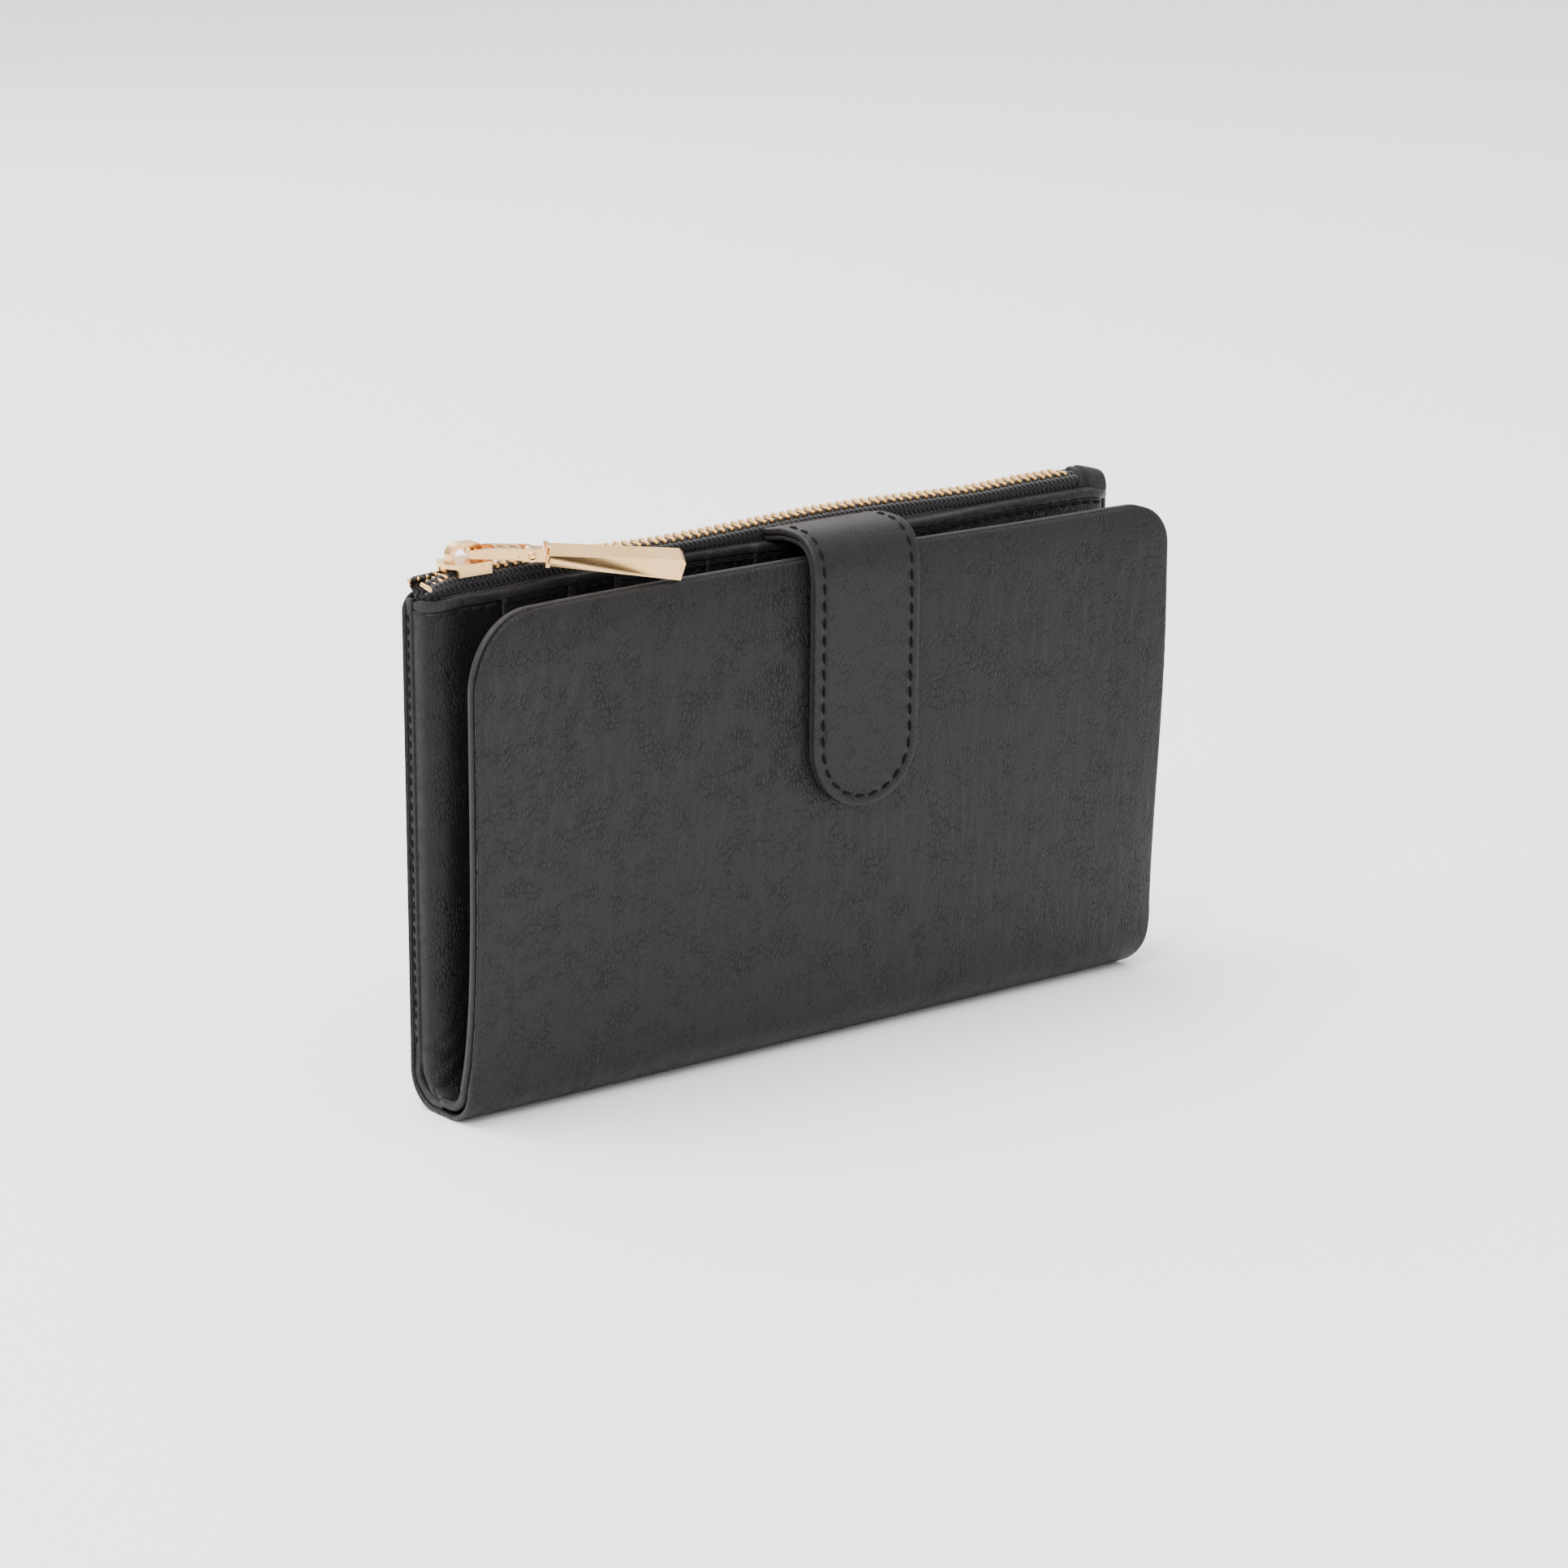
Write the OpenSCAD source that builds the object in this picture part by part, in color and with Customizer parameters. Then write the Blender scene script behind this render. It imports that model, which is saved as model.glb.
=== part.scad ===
// Bifold clutch wallet: a folding leather cover, a zipped coin and note pocket
// with card slots inside, and a strap tab that holds the front flap shut.
// X runs along the fold, the flap faces -Y, and the wallet stands on its fold at z = 0.

/* [Cover] */
// Width of the cover along the fold
cover_w = 185; // [150:1:220]
// Height of the closed front flap
flap_h = 106.5; // [90:0.5:125]
// Thickness of the closed wallet, back to front, without the tab
closed_t = 22; // [21.8:0.2:28]
// Outer radius of each of the cover's two bends at the foot
bend_r = 8; // [6:0.5:9]
// Outer leather of the cover
leather_t = 1.2; // [0.8:0.1:1.6]
// Radius of the flap's upper corners
corner_r = 14; // [6:1:25]
// Gap between a panel and the spine that bends below it
hinge_gap = 0.5; // [0.3:0.1:1]

/* [Flap lining] */
// Stiffening board in the flap
flap_board_t = 0.8; // [0.5:0.1:1.2]
// Leather lining of the flap
flap_lining_t = 1.1; // [0.6:0.1:1.4]
// Slip pocket on the flap's lining
slip_pocket_t = 0.7; // [0.4:0.1:1]
// How far the flap's board stays inside its edges
board_inset = 2.5; // [1:0.5:6]
// How much lower than the flap the slip pocket's open top is
slip_pocket_drop = 30; // [15:1:50]
// Lining of the spine
spine_lining_t = 0.8; // [0.5:0.1:1.2]

/* [Zipped pocket] */
// Height of the zipped pocket's walls
pocket_h = 108; // [92:0.5:126]
// How far the pocket stays inside the cover at each side
pocket_inset = 1; // [0.5:0.5:4]
// Inner width of the zipped pocket, back to front
pocket_gap = 4.6; // [4.4:0.1:6]
// Stiffening board of the back
back_board_t = 0.6; // [0.4:0.1:1]
// Lining of the zipped pocket
skin_t = 0.4; // [0.3:0.1:0.6]
// Leather of the pocket's front wall
wall_t = 1; // [0.7:0.1:1.3]
// Width of the gusset strips at the sides and the bottom
gusset_w = 4; // [2:0.5:8]
// Height of the folded binding along the front wall's top
binding_h = 2.2; // [1.5:0.1:4]

/* [Card slots] */
// Thickness of one card slot's layer
slot_t = 0.4; // [0.2:0.1:0.5]
// Distance from the pocket's side to the first slot's mouth
slot_first = 17; // [8:0.5:24]
// Distance from the pocket's side to the second slot's mouth
slot_second = 34; // [26:0.5:40]
// Distance between the mouths of the slots after that
slot_step = 11.9; // [8:0.1:14]

/* [Zip] */
// Width of the closed chain
chain_w = 5.8; // [5:0.1:6.4]
// Thickness of a tooth
tooth_t = 1.6; // [1.2:0.1:2]
// Width of a tooth along the chain
tooth_w = 1; // [0.7:0.05:1.05]
// Distance between the teeth of one row
tooth_pitch = 2.2; // [2.15:0.05:3]
// How far a tooth reaches past the chain's middle
tooth_bite = 0.5; // [0.3:0.1:0.8]
// Thickness of the woven tape
tape_t = 0.5; // [0.3:0.1:0.6]
// Height of the chain's middle over the pocket's walls
chain_rise = 3.5; // [3:0.1:6]
// How far down inside the walls the tapes are sewn
tape_depth = 10; // [6:0.5:20]
// Length of the leather tab that closes the zip's far end
end_tab_l = 11.5; // [8:0.5:20]
// Number of loose teeth at the zip's near end, each side
loose_teeth = 3; // [0:1:3]

/* [Slider] */
// Distance from the pocket's side to the slider's middle, zip closed
slider_from_side = 11.5; // [11:0.5:20]
// Length of the slider
slider_l = 10; // [8:0.5:14]
// Thickness of the slider's plates and side walls
plate_t = 0.9; // [0.6:0.1:1.2]
// Clearance between the slider and the chain
slider_gap = 0.25; // [0.15:0.05:0.4]
// Width of the bridge on the slider
bridge_w = 2.2; // [1.6:0.1:2.4]
// Thickness of the bridge's band
bridge_t = 1.2; // [0.8:0.1:1.4]
// Height of the opening under the bridge
bridge_open = 2.6; // [2.5:0.1:4]

/* [Puller] */
// How far the puller leans over the front, seen from above
puller_yaw = 24; // [0:1:26]
// How far the link slopes down from the bridge
link_pitch = 4.2; // [2:0.1:5]
// Distance from the link's crossbar to its pin
link_l = 12.3; // [11:0.1:16]
// Distance between the link's two side arms
link_inside = 4.2; // [4:0.1:5]
// Thickness of the link's arms and of its top
link_t = 0.6; // [0.4:0.1:0.8]
// Radius of the link's crossbar
crossbar_r = 0.6; // [0.4:0.05:0.7]
// Radius of the link's eyes round the pin
eye_r = 1.4; // [1.2:0.1:1.5]
// Radius of the pin
pin_r = 0.7; // [0.5:0.05:0.8]
// Running clearance round the pin
pin_gap = 0.05; // [0.02:0.01:0.1]
// Clearance between the bar's tongue and the link's arms
tongue_gap = 0.15; // [0.1:0.05:0.3]
// How far the bar slopes down
bar_pitch = 5.5; // [4:0.1:5.5]
// How far the bar is turned about its own length
bar_roll = 22; // [0:1:25]
// Distance from the pin to the bar's collar
collar_from_pin = 3; // [2.6:0.1:5]
// Height of the bar's collar
collar_h = 4.6; // [3:0.1:4.8]
// Distance from the pin to the bar's free end
bar_reach = 32; // [20:0.5:36]
// Width of the bar
bar_w = 4.3; // [3:0.1:5]
// Height of the bar at its collar
bar_near_h = 2.8; // [2:0.1:3.2]
// Height of the bar at its free end
bar_far_h = 5; // [3:0.1:5.1]
// Chamfer of the bar's free end
bar_chamfer = 0.8; // [0.3:0.1:1.5]

/* [Closing tab] */
// Width of the tab
tab_w = 28; // [18:1:50]
// Distance from the wallet's middle to the tab's middle
tab_x = 7.5; // [-40:0.5:40]
// Length of the tab below the flap's top
tab_drop = 54.5; // [30:0.5:80]
// Outer leather of the tab
tab_leather_t = 1.3; // [1:0.1:1.6]
// Lining leather of the tab
tab_lining_t = 1.2; // [1:0.1:1.6]
// Clearance between the tab and what it lies over
tab_gap = 0.3; // [0.3:0.1:1]
// Inner radius of the tab's bend over the flap's top
tab_bend_r = 0.9; // [0.3:0.1:1]
// Radius of the hidden magnets
magnet_r = 7; // [4:0.5:9]
// Clearance round a magnet
magnet_gap = 0.1; // [0.05:0.05:0.3]

/* [Hidden] */
$fn = 48;

slots = 6;
card_layers = [for (i = [1 : slots]) str("card_slot_", i)];

leather_col = [0.16, 0.15, 0.155];
lining_col = [0.1, 0.1, 0.11];
board_col = [0.55, 0.5, 0.42];
tape_col = [0.06, 0.06, 0.07];
gold_col = [0.86, 0.72, 0.5];
magnet_col = [0.6, 0.6, 0.62];

// the layers from the back to the front
back_y = closed_t / 2;
back_board_y = back_y - leather_t;
rear_lining_y = back_board_y - back_board_t;
pocket_rear_y = rear_lining_y - skin_t;
pocket_front_y = pocket_rear_y - pocket_gap;
front_wall_y = pocket_front_y - skin_t;
slots_y = front_wall_y - wall_t;
binding_proud = 0.2;
binding_front_y = slots_y - slots * slot_t - binding_proud;
front_y = -closed_t / 2;

// heights
panel_z = bend_r + hinge_gap;
pocket_floor_z = panel_z + gusset_w;
binding_z = pocket_h - binding_h;
chain_z = pocket_h + chain_rise;

pocket_w = cover_w - 2 * pocket_inset;
pocket_side = pocket_w / 2;

// the zip stands over the middle of the zipped pocket
zip_y = (pocket_rear_y + pocket_front_y) / 2;
slider_x = slider_from_side - pocket_side;
chain_end_x = pocket_side - end_tab_l;
tape_out = pocket_gap / 2;
tape_top = -tooth_t / 2;
tape_shoulder = chain_w / 2 + 0.2;
shoulder_r = 0.3;
notch_half = 1.3;
notch_end_x = slider_x - slider_l / 2 + 2;

// the slider, seen from the chain's middle
channel_half = chain_w / 2 + slider_gap;
channel_top = tooth_t / 2 + slider_gap;
channel_floor = tape_top - tape_t - slider_gap;
slider_half = channel_half + plate_t;
slider_top_z = chain_z + channel_top + plate_t;

// the puller hangs on the bridge's far leg
bridge_l = slider_l - 2;
crossbar_gap = 0.1;
crossbar_lift = 0.15;
crossbar_lean = bridge_w / 2 * tan(puller_yaw) + crossbar_r / cos(puller_yaw);
crossbar_x = slider_x + bridge_l / 2 - bridge_t - crossbar_lean - crossbar_gap;
crossbar_z = slider_top_z + bridge_open / 2 + crossbar_lift;
link_flat = link_l * cos(link_pitch);
pin_pos = [crossbar_x + link_flat * cos(puller_yaw), zip_y - link_flat * sin(puller_yaw),
           crossbar_z - link_l * sin(link_pitch)];
link_half = link_inside / 2 + link_t;
web_start = 4.8;
web_end = link_l - 2;

// the tab bends over the binding, the gap and the flap's top
tab_radius = tab_w / 2;
tab_in_y = front_y - tab_gap;
tab_end_z = flap_h - tab_drop;
tab_over_binding_z = pocket_h + tab_gap;
tab_over_flap_z = flap_h + tab_gap;
magnet_z = tab_end_z + tab_radius;
tab_magnet_t = tab_lining_t - 0.4;

// a closed box from one corner to the other
module slab(low, high) {
    translate(low) cube(high - low);
}

// a (y, z) section carried along X from x0 to x1
module along_x(x0, x1) {
    translate([x0, 0, 0]) rotate([90, 0, 90]) linear_extrude(x1 - x0) children();
}

// an (x, z) outline given the thickness from y0 to y1
module across_y(y0, y1) {
    translate([0, y1, 0]) rotate([90, 0, 0]) linear_extrude(y1 - y0) children();
}

// a rectangle standing on y = 0 with two round upper corners
module round_top(w, h, r) {
    translate([-w / 2, 0]) square([w, h - r]);
    translate([r - w / 2, 0]) square([w - 2 * r, h]);
    for (s = [-1, 1]) translate([s * (w / 2 - r), h - r]) circle(r);
}

// a quarter of a ring, in the quadrant away from both axes' positive ends
module quarter_ring(r, t) {
    intersection() {
        difference() {
            circle(r);
            circle(r - t);
        }
        translate([-r, -r]) square(r);
    }
}

// the U of the folded spine, t thick, its outside drop below the cover's outside
module fold_section(drop, t) {
    r = bend_r - drop;
    flat_half = closed_t / 2 - bend_r;
    translate([-flat_half, drop]) square([2 * flat_half, t]);
    for (s = [0, 1]) mirror([s, 0]) translate([-flat_half, bend_r]) quarter_ring(r, t);
}

module flap_panel(w, z0, z1, r, y0, y1) {
    across_y(y0, y1) translate([0, z0]) round_top(w, z1 - z0, r);
}

// ---- zipped pocket ----

module back_cover() {
    color(leather_col)
        slab([-cover_w / 2, back_board_y, panel_z], [cover_w / 2, back_y, pocket_h]);
}

module back_board() {
    x = pocket_side - board_inset;
    color(board_col)
        slab([-x, rear_lining_y, panel_z + board_inset], [x, back_board_y, pocket_h - board_inset]);
}

module pocket_rear_lining() {
    color(lining_col)
        slab([-pocket_side, pocket_rear_y, panel_z], [pocket_side, rear_lining_y, pocket_h]);
}

// side is -1 for the left strip and 1 for the right one
module side_gusset(side) {
    x = side * (pocket_side - gusset_w / 2);
    color(lining_col)
        slab([x - gusset_w / 2, pocket_front_y, panel_z],
             [x + gusset_w / 2, pocket_rear_y, pocket_h - tape_depth - 1]);
}

module bottom_gusset() {
    x = pocket_side - gusset_w;
    color(lining_col) slab([-x, pocket_front_y, panel_z], [x, pocket_rear_y, pocket_floor_z]);
}

module pocket_front_lining() {
    color(lining_col)
        difference() {
            slab([-pocket_side, front_wall_y, panel_z], [pocket_side, pocket_front_y, pocket_h]);
            tab_tongue(magnet_gap);
        }
}

module pocket_front_wall() {
    color(leather_col)
        slab([-pocket_side, slots_y, panel_z], [pocket_side, front_wall_y, binding_z]);
}

function slot_mouth(i) = (i == 1 ? slot_first : slot_second + (i - 2) * slot_step) - pocket_side;

// each layer covers the one behind it from its own mouth to the far side
module card_slot(i) {
    y = slots_y - i * slot_t;
    color(leather_col * (1 + 0.04 * i))
        slab([slot_mouth(i), y, panel_z], [pocket_side, y + slot_t, binding_z]);
}

module front_binding() {
    w = front_wall_y - binding_front_y;
    color(leather_col)
        along_x(-pocket_side, pocket_side)
            translate([binding_front_y + w / 2, binding_z])
                round_top(w, binding_h, binding_h / 2);
}

// the tab's skived tongue, sewn in between the wall and the zip's tape
module tab_tongue(gap) {
    slab([tab_x - tab_radius - gap, front_wall_y, binding_z - tape_depth / 2 - gap],
         [tab_x + tab_radius + gap, pocket_front_y, pocket_h + gap]);
}

module tab_root() {
    color(leather_col) tab_tongue(0);
}

// ---- zip ----

// side is -1 for the front half of the zip and 1 for the rear half
module zip_half(side) {
    translate([0, zip_y, chain_z]) scale([1, side, 1]) children();
}

// half of the tent: flat under the teeth, over the shoulder and down inside the wall
module tape_section() {
    low = -chain_rise - tape_depth;
    under = tape_top - tape_t;
    neck = 0.1 - chain_rise;
    polygon([[0.25, tape_top], [tape_shoulder - shoulder_r, tape_top], [tape_shoulder, tape_top - shoulder_r],
             [tape_shoulder, tape_top - 1.2], [tape_out, neck], [tape_out, low],
             [tape_out - tape_t, low], [tape_out - tape_t, neck], [tape_shoulder - tape_t, tape_top - 1.1],
             [tape_shoulder - tape_t, under], [0.25, under]]);
}

// the slider's post parts the two tapes beyond the notch
module zip_tape(side) {
    color(tape_col)
        zip_half(side) difference() {
            along_x(-pocket_side + 1, chain_end_x) tape_section();
            slab([-pocket_side, -1, tape_top - tape_t - 1], [notch_end_x, notch_half, 1]);
        }
}

module tooth() {
    reach = chain_w / 2 + tooth_bite;
    neck = 0.7 * tooth_w;
    translate([0, -tooth_bite, -tooth_t / 2]) linear_extrude(tooth_t)
        polygon([[-neck / 2, 0], [neck / 2, 0], [tooth_w / 2, 0.5], [tooth_w / 2, reach],
                 [-tooth_w / 2, reach], [-tooth_w / 2, 0.5]]);
}

// the loose teeth past the slider stand closer together, and turn away from the chain
module zip_teeth(side) {
    loose_pitch = 1.7;
    loose_spread = 0.45;
    loose_turn = 6;
    first = notch_end_x + tooth_w;
    shift = side > 0 ? tooth_pitch / 2 : 0;
    count = floor((chain_end_x - first - shift - tooth_w / 2) / tooth_pitch);
    color(gold_col)
        zip_half(side) {
            for (i = [0 : count]) translate([first + shift + i * tooth_pitch, 0, 0]) tooth();
            for (i = [1 : 1 : loose_teeth])
                translate([slider_x - slider_l / 2 - i * loose_pitch, 0.8 + i * loose_spread, 0])
                    rotate([0, 0, i * loose_turn]) tooth();
        }
}

module zip_end_tab() {
    foot_spread = 1.7;
    foot = tape_out + foot_spread;
    color(leather_col)
        translate([0, zip_y, chain_z]) along_x(chain_end_x, pocket_side)
            polygon([[-foot, -chain_rise], [foot, -chain_rise], [chain_w / 2, tooth_t / 2 + 0.1],
                     [-chain_w / 2, tooth_t / 2 + 0.1]]);
}

// ---- spine ----

module cover_spine() {
    color(leather_col) along_x(-cover_w / 2, cover_w / 2) fold_section(0, leather_t);
}

module spine_lining() {
    color(lining_col) along_x(-pocket_side, pocket_side) fold_section(leather_t, spine_lining_t);
}

// ---- flap ----

flap_board_y = front_y + leather_t;
flap_lining_y = flap_board_y + flap_board_t;
slip_pocket_y = flap_lining_y + flap_lining_t;

module flap_cover() {
    color(leather_col) flap_panel(cover_w, panel_z, flap_h, corner_r, front_y, flap_board_y);
}

module flap_board() {
    color(board_col)
        difference() {
            flap_panel(cover_w - 2 * board_inset, panel_z + board_inset, flap_h - board_inset,
                       corner_r - board_inset, flap_board_y, flap_lining_y);
            translate([tab_x, flap_lining_y + 1, magnet_z])
                rotate([90, 0, 0]) cylinder(r = magnet_r + magnet_gap, h = flap_board_t + 2);
        }
}

module flap_lining() {
    color(lining_col) flap_panel(cover_w, panel_z, flap_h, corner_r, flap_lining_y, slip_pocket_y);
}

module flap_slip_pocket() {
    color(lining_col)
        slab([-pocket_side, slip_pocket_y, panel_z],
             [pocket_side, slip_pocket_y + slip_pocket_t, flap_h - slip_pocket_drop]);
}

module flap_magnet() {
    color(magnet_col)
        translate([tab_x, flap_lining_y, magnet_z]) rotate([90, 0, 0])
            cylinder(r = magnet_r, h = flap_board_t);
}

// ---- closing tab ----

// the tab's inner face: where it starts, its crown, and the middle of its bend, in (y, z)
tab_start = [zip_y - tape_shoulder - tab_gap, tab_over_binding_z];
tab_crown = [binding_front_y - 1, tab_over_binding_z];
tab_bend = [tab_in_y + tab_bend_r, tab_over_flap_z - tab_bend_r];

// points round a bend from the top to the front
function bend_points(r) = [for (a = [90 : 10 : 180]) tab_bend + r * [cos(a), sin(a)]];
function reversed(list) = [for (i = [1 : len(list)]) list[len(list) - i]];

// one face of the tab, at a distance from its inner face
function tab_face(away) =
    concat([tab_start + [0, away], tab_crown + [0, away]], bend_points(tab_bend_r + away),
           [[tab_in_y - away, tab_end_z]]);

// a layer of the tab between two distances from its inner face, in (y, z)
module tab_section(near, far) {
    polygon(concat(tab_face(near), reversed(tab_face(far))));
}

// the tab's outline seen from the front, with a half-round end
module tab_outline(w) {
    top = pocket_h + 10;
    translate([tab_x - w / 2, magnet_z]) square([w, top - magnet_z]);
    translate([tab_x, magnet_z]) circle(w / 2);
}

module tab_layer(near, far) {
    intersection() {
        along_x(tab_x - tab_radius, tab_x + tab_radius) tab_section(near, far);
        across_y(tab_in_y - far - 1, back_y) tab_outline(tab_w);
    }
}

module tab_strap() {
    color(leather_col) tab_layer(tab_lining_t, tab_lining_t + tab_leather_t);
}

module magnet_seat(r, t) {
    translate([tab_x, tab_in_y - tab_lining_t + t, magnet_z])
        rotate([90, 0, 0]) cylinder(r = r, h = t);
}

module tab_lining() {
    color(lining_col)
        difference() {
            tab_layer(0, tab_lining_t);
            magnet_seat(magnet_r + magnet_gap, tab_magnet_t);
        }
}

module tab_magnet() {
    color(magnet_col) magnet_seat(magnet_r, tab_magnet_t);
}

// ---- slider and puller ----

// the slider's plates are cut back at the mouth, where the two rows part
module slider_outline(half) {
    l = slider_l / 2;
    polygon([[-l, 0.5 * half], [-l + 1.2, half], [l - 0.8, half], [l, half - 0.8],
             [l, 0.8 - half], [l - 0.8, -half], [-l + 1.2, -half], [-l, -0.5 * half]]);
}

module zip_slider() {
    floor_half = tape_shoulder - tape_t - 2.4 * slider_gap;
    post_half = 0.45 * floor_half;
    post_l = 1.5;
    wall_low = tape_top + slider_gap;
    color(gold_col)
        translate([slider_x, zip_y, chain_z]) union() {
            translate([0, 0, channel_top]) linear_extrude(plate_t) slider_outline(slider_half);
            translate([0, 0, channel_floor - plate_t]) linear_extrude(plate_t)
                slider_outline(floor_half);
            for (s = [0, 1]) mirror([0, s, 0])
                slab([1.2 - slider_l / 2, channel_half, wall_low],
                     [slider_l / 2 - 0.8, slider_half, channel_top]);
            slab([-slider_l / 2, -post_half, channel_floor],
                 [post_l - slider_l / 2, post_half, channel_top]);
            across_y(-bridge_w / 2, bridge_w / 2) translate([0, channel_top + plate_t])
                difference() {
                    round_top(bridge_l, bridge_open + bridge_t, 2.4);
                    round_top(bridge_l - 2 * bridge_t, bridge_open, 1.2);
                }
        }
}

// the frame of the link: x along it from the crossbar, z up
module at_crossbar() {
    translate([crossbar_x, zip_y, crossbar_z]) rotate([0, link_pitch, -puller_yaw]) children();
}

// the frame of the bar: x along it from the pin, z up
module at_pin() {
    translate(pin_pos) rotate([0, bar_pitch, -puller_yaw]) children();
}

module rod(r, half) {
    translate([0, half, 0]) rotate([90, 0, 0]) cylinder(r = r, h = 2 * half);
}

// one arm of the link, slimmer at the crossbar than at the pin
module link_arm() {
    near_r = crossbar_r + 0.3;
    taper_x = link_l - 3.5;
    difference() {
        union() {
            circle(near_r);
            translate([link_l, 0]) circle(eye_r);
            polygon([[0, -near_r], [taper_x, -near_r], [link_l, -eye_r], [link_l, eye_r],
                     [taper_x, eye_r], [web_start - 1, eye_r], [0, near_r]]);
        }
        translate([link_l, 0]) circle(pin_r);
    }
}

module puller_link() {
    window_l = 1.8;
    window_gap = 0.7;
    color(gold_col)
        at_crossbar() union() {
            rod(crossbar_r, link_half);
            for (s = [0, 1]) mirror([0, s, 0])
                across_y(link_inside / 2, link_half) link_arm();
            difference() {
                slab([web_start, -link_half, eye_r - link_t], [web_end, link_half, eye_r]);
                for (i = [0, 1])
                    translate([web_start + window_gap + i * (window_l + window_gap), 0, 0])
                        slab([0, -1, 0], [window_l, 1, 2 * eye_r]);
            }
        }
}

module puller_pin() {
    head_t = 0.35;
    color(gold_col)
        at_pin() union() {
            rod(pin_r, link_half);
            for (s = [0, 1]) mirror([0, s, 0])
                translate([0, link_half + head_t, 0]) rotate([90, 0, 0])
                    cylinder(r1 = 0.6, r2 = 0.95, h = head_t);
        }
}

// the bar's side view: its top is straight and its underside falls away
module bar_side() {
    top = bar_near_h / 2;
    x0 = collar_from_pin;
    polygon([[x0, top], [bar_reach - bar_chamfer, top], [bar_reach, top - bar_chamfer],
             [bar_reach - bar_chamfer / 2, top - bar_far_h], [x0, -top]]);
}

module puller_bar() {
    tongue_half = link_inside / 2 - tongue_gap;
    collar_t = 0.8;
    color(gold_col)
        at_pin() difference() {
            union() {
                rod(eye_r - 0.1, tongue_half);
                slab([0, -tongue_half, 0.1 - eye_r],
                     [collar_from_pin, tongue_half, eye_r - 0.1]);
                rotate([bar_roll, 0, 0]) across_y(-bar_w / 2, bar_w / 2) bar_side();
                slab([collar_from_pin, -bar_w / 2 - 0.2, -collar_h / 2],
                     [collar_from_pin + collar_t, bar_w / 2 + 0.2, collar_h / 2]);
            }
            rod(pin_r + pin_gap, tongue_half + 1);
        }
}

back_cover();
back_board();
pocket_rear_lining();
side_gusset(-1);  // left_gusset
side_gusset(1);  // right_gusset
bottom_gusset();
pocket_front_lining();
pocket_front_wall();
for (i = [1 : slots])
    card_slot(i);
front_binding();
zip_tape(-1);  // front_zip_tape
zip_tape(1);  // rear_zip_tape
zip_teeth(-1);  // front_zip_teeth
zip_teeth(1);  // rear_zip_teeth
zip_end_tab();
tab_root();
cover_spine();
spine_lining();
flap_cover();
flap_board();
flap_lining();
flap_slip_pocket();
flap_magnet();
tab_strap();
tab_lining();
tab_magnet();
zip_slider();
puller_link();
puller_pin();
puller_bar();
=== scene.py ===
import math
import bmesh
import bpy
import numpy as np
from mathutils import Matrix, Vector


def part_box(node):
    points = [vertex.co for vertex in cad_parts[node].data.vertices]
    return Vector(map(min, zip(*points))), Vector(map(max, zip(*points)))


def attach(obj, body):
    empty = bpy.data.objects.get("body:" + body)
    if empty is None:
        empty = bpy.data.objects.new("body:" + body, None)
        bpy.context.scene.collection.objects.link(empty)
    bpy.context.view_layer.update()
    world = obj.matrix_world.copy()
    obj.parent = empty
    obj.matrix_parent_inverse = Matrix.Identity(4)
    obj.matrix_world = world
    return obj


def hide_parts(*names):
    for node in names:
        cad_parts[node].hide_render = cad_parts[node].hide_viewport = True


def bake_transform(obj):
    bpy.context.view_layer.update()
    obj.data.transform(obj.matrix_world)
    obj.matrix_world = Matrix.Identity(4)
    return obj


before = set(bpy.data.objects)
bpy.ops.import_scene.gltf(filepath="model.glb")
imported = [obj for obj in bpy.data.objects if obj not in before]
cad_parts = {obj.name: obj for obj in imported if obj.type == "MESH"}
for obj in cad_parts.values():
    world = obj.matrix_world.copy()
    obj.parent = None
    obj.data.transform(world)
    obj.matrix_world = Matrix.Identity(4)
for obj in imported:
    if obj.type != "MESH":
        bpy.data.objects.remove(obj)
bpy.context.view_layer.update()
print("bifold wallet: frame loaded,", len(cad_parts), "nodes")

mm = 0.001
tau = 2 * math.pi


# places taken from the frame

def corners(node):
    # lowest and highest corner of a CAD node, as arrays
    low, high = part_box(node)
    return np.array(low), np.array(high)


flapLow, flapHigh = corners("flap_cover")
backLow, backHigh = corners("back_cover")
wallLow, wallHigh = corners("pocket_front_wall")
bindingLow, bindingHigh = corners("front_binding")
endTabLow, endTabHigh = corners("zip_end_tab")
sliderLow, sliderHigh = corners("zip_slider")
strapLow, strapHigh = corners("tab_strap")
frontTeethLow, frontTeethHigh = corners("front_zip_teeth")
rearTeethHigh = corners("rear_zip_teeth")[1]

coverHalf = flapHigh[0]                      # half the cover's width
pocketHalf = wallHigh[0]                     # half the pocket's width
outerFace = -flapLow[1]                      # from the middle plane to the outer leather
leather = flapHigh[1] - flapLow[1]
flapTop = flapHigh[2]
pocketTop = backHigh[2]
bendRadius = corners("cover_spine")[1][2]
footFlat = outerFace - bendRadius            # half of the foot's flat stretch
zipMiddle = (frontTeethLow[1] + rearTeethHigh[1]) / 2
chainMiddle = (frontTeethHigh[2] + frontTeethLow[2]) / 2
slotNames = ["card_slot_%d" % number for number in range(1, 7)]
slotBoxes = [corners(name) for name in slotNames]


# small formulas

def smooth(t):
    # 3t^2 - 2t^3, held between 0 and 1
    t = np.clip(t, 0, 1)
    return t * t * (3 - 2 * t)


def hump(x, middle, width):
    # exp(-((x - middle) / width)^2)
    return np.exp(-((x - middle) / width) ** 2)


def roundDrop(e, r):
    # how far a rounded face lies below its flat at a distance e from the edge: r - sqrt(r^2 - (r - e)^2)
    inside = np.clip(r - e, 0, r)
    return r - np.sqrt(np.maximum(r * r - inside * inside, 0))


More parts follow.
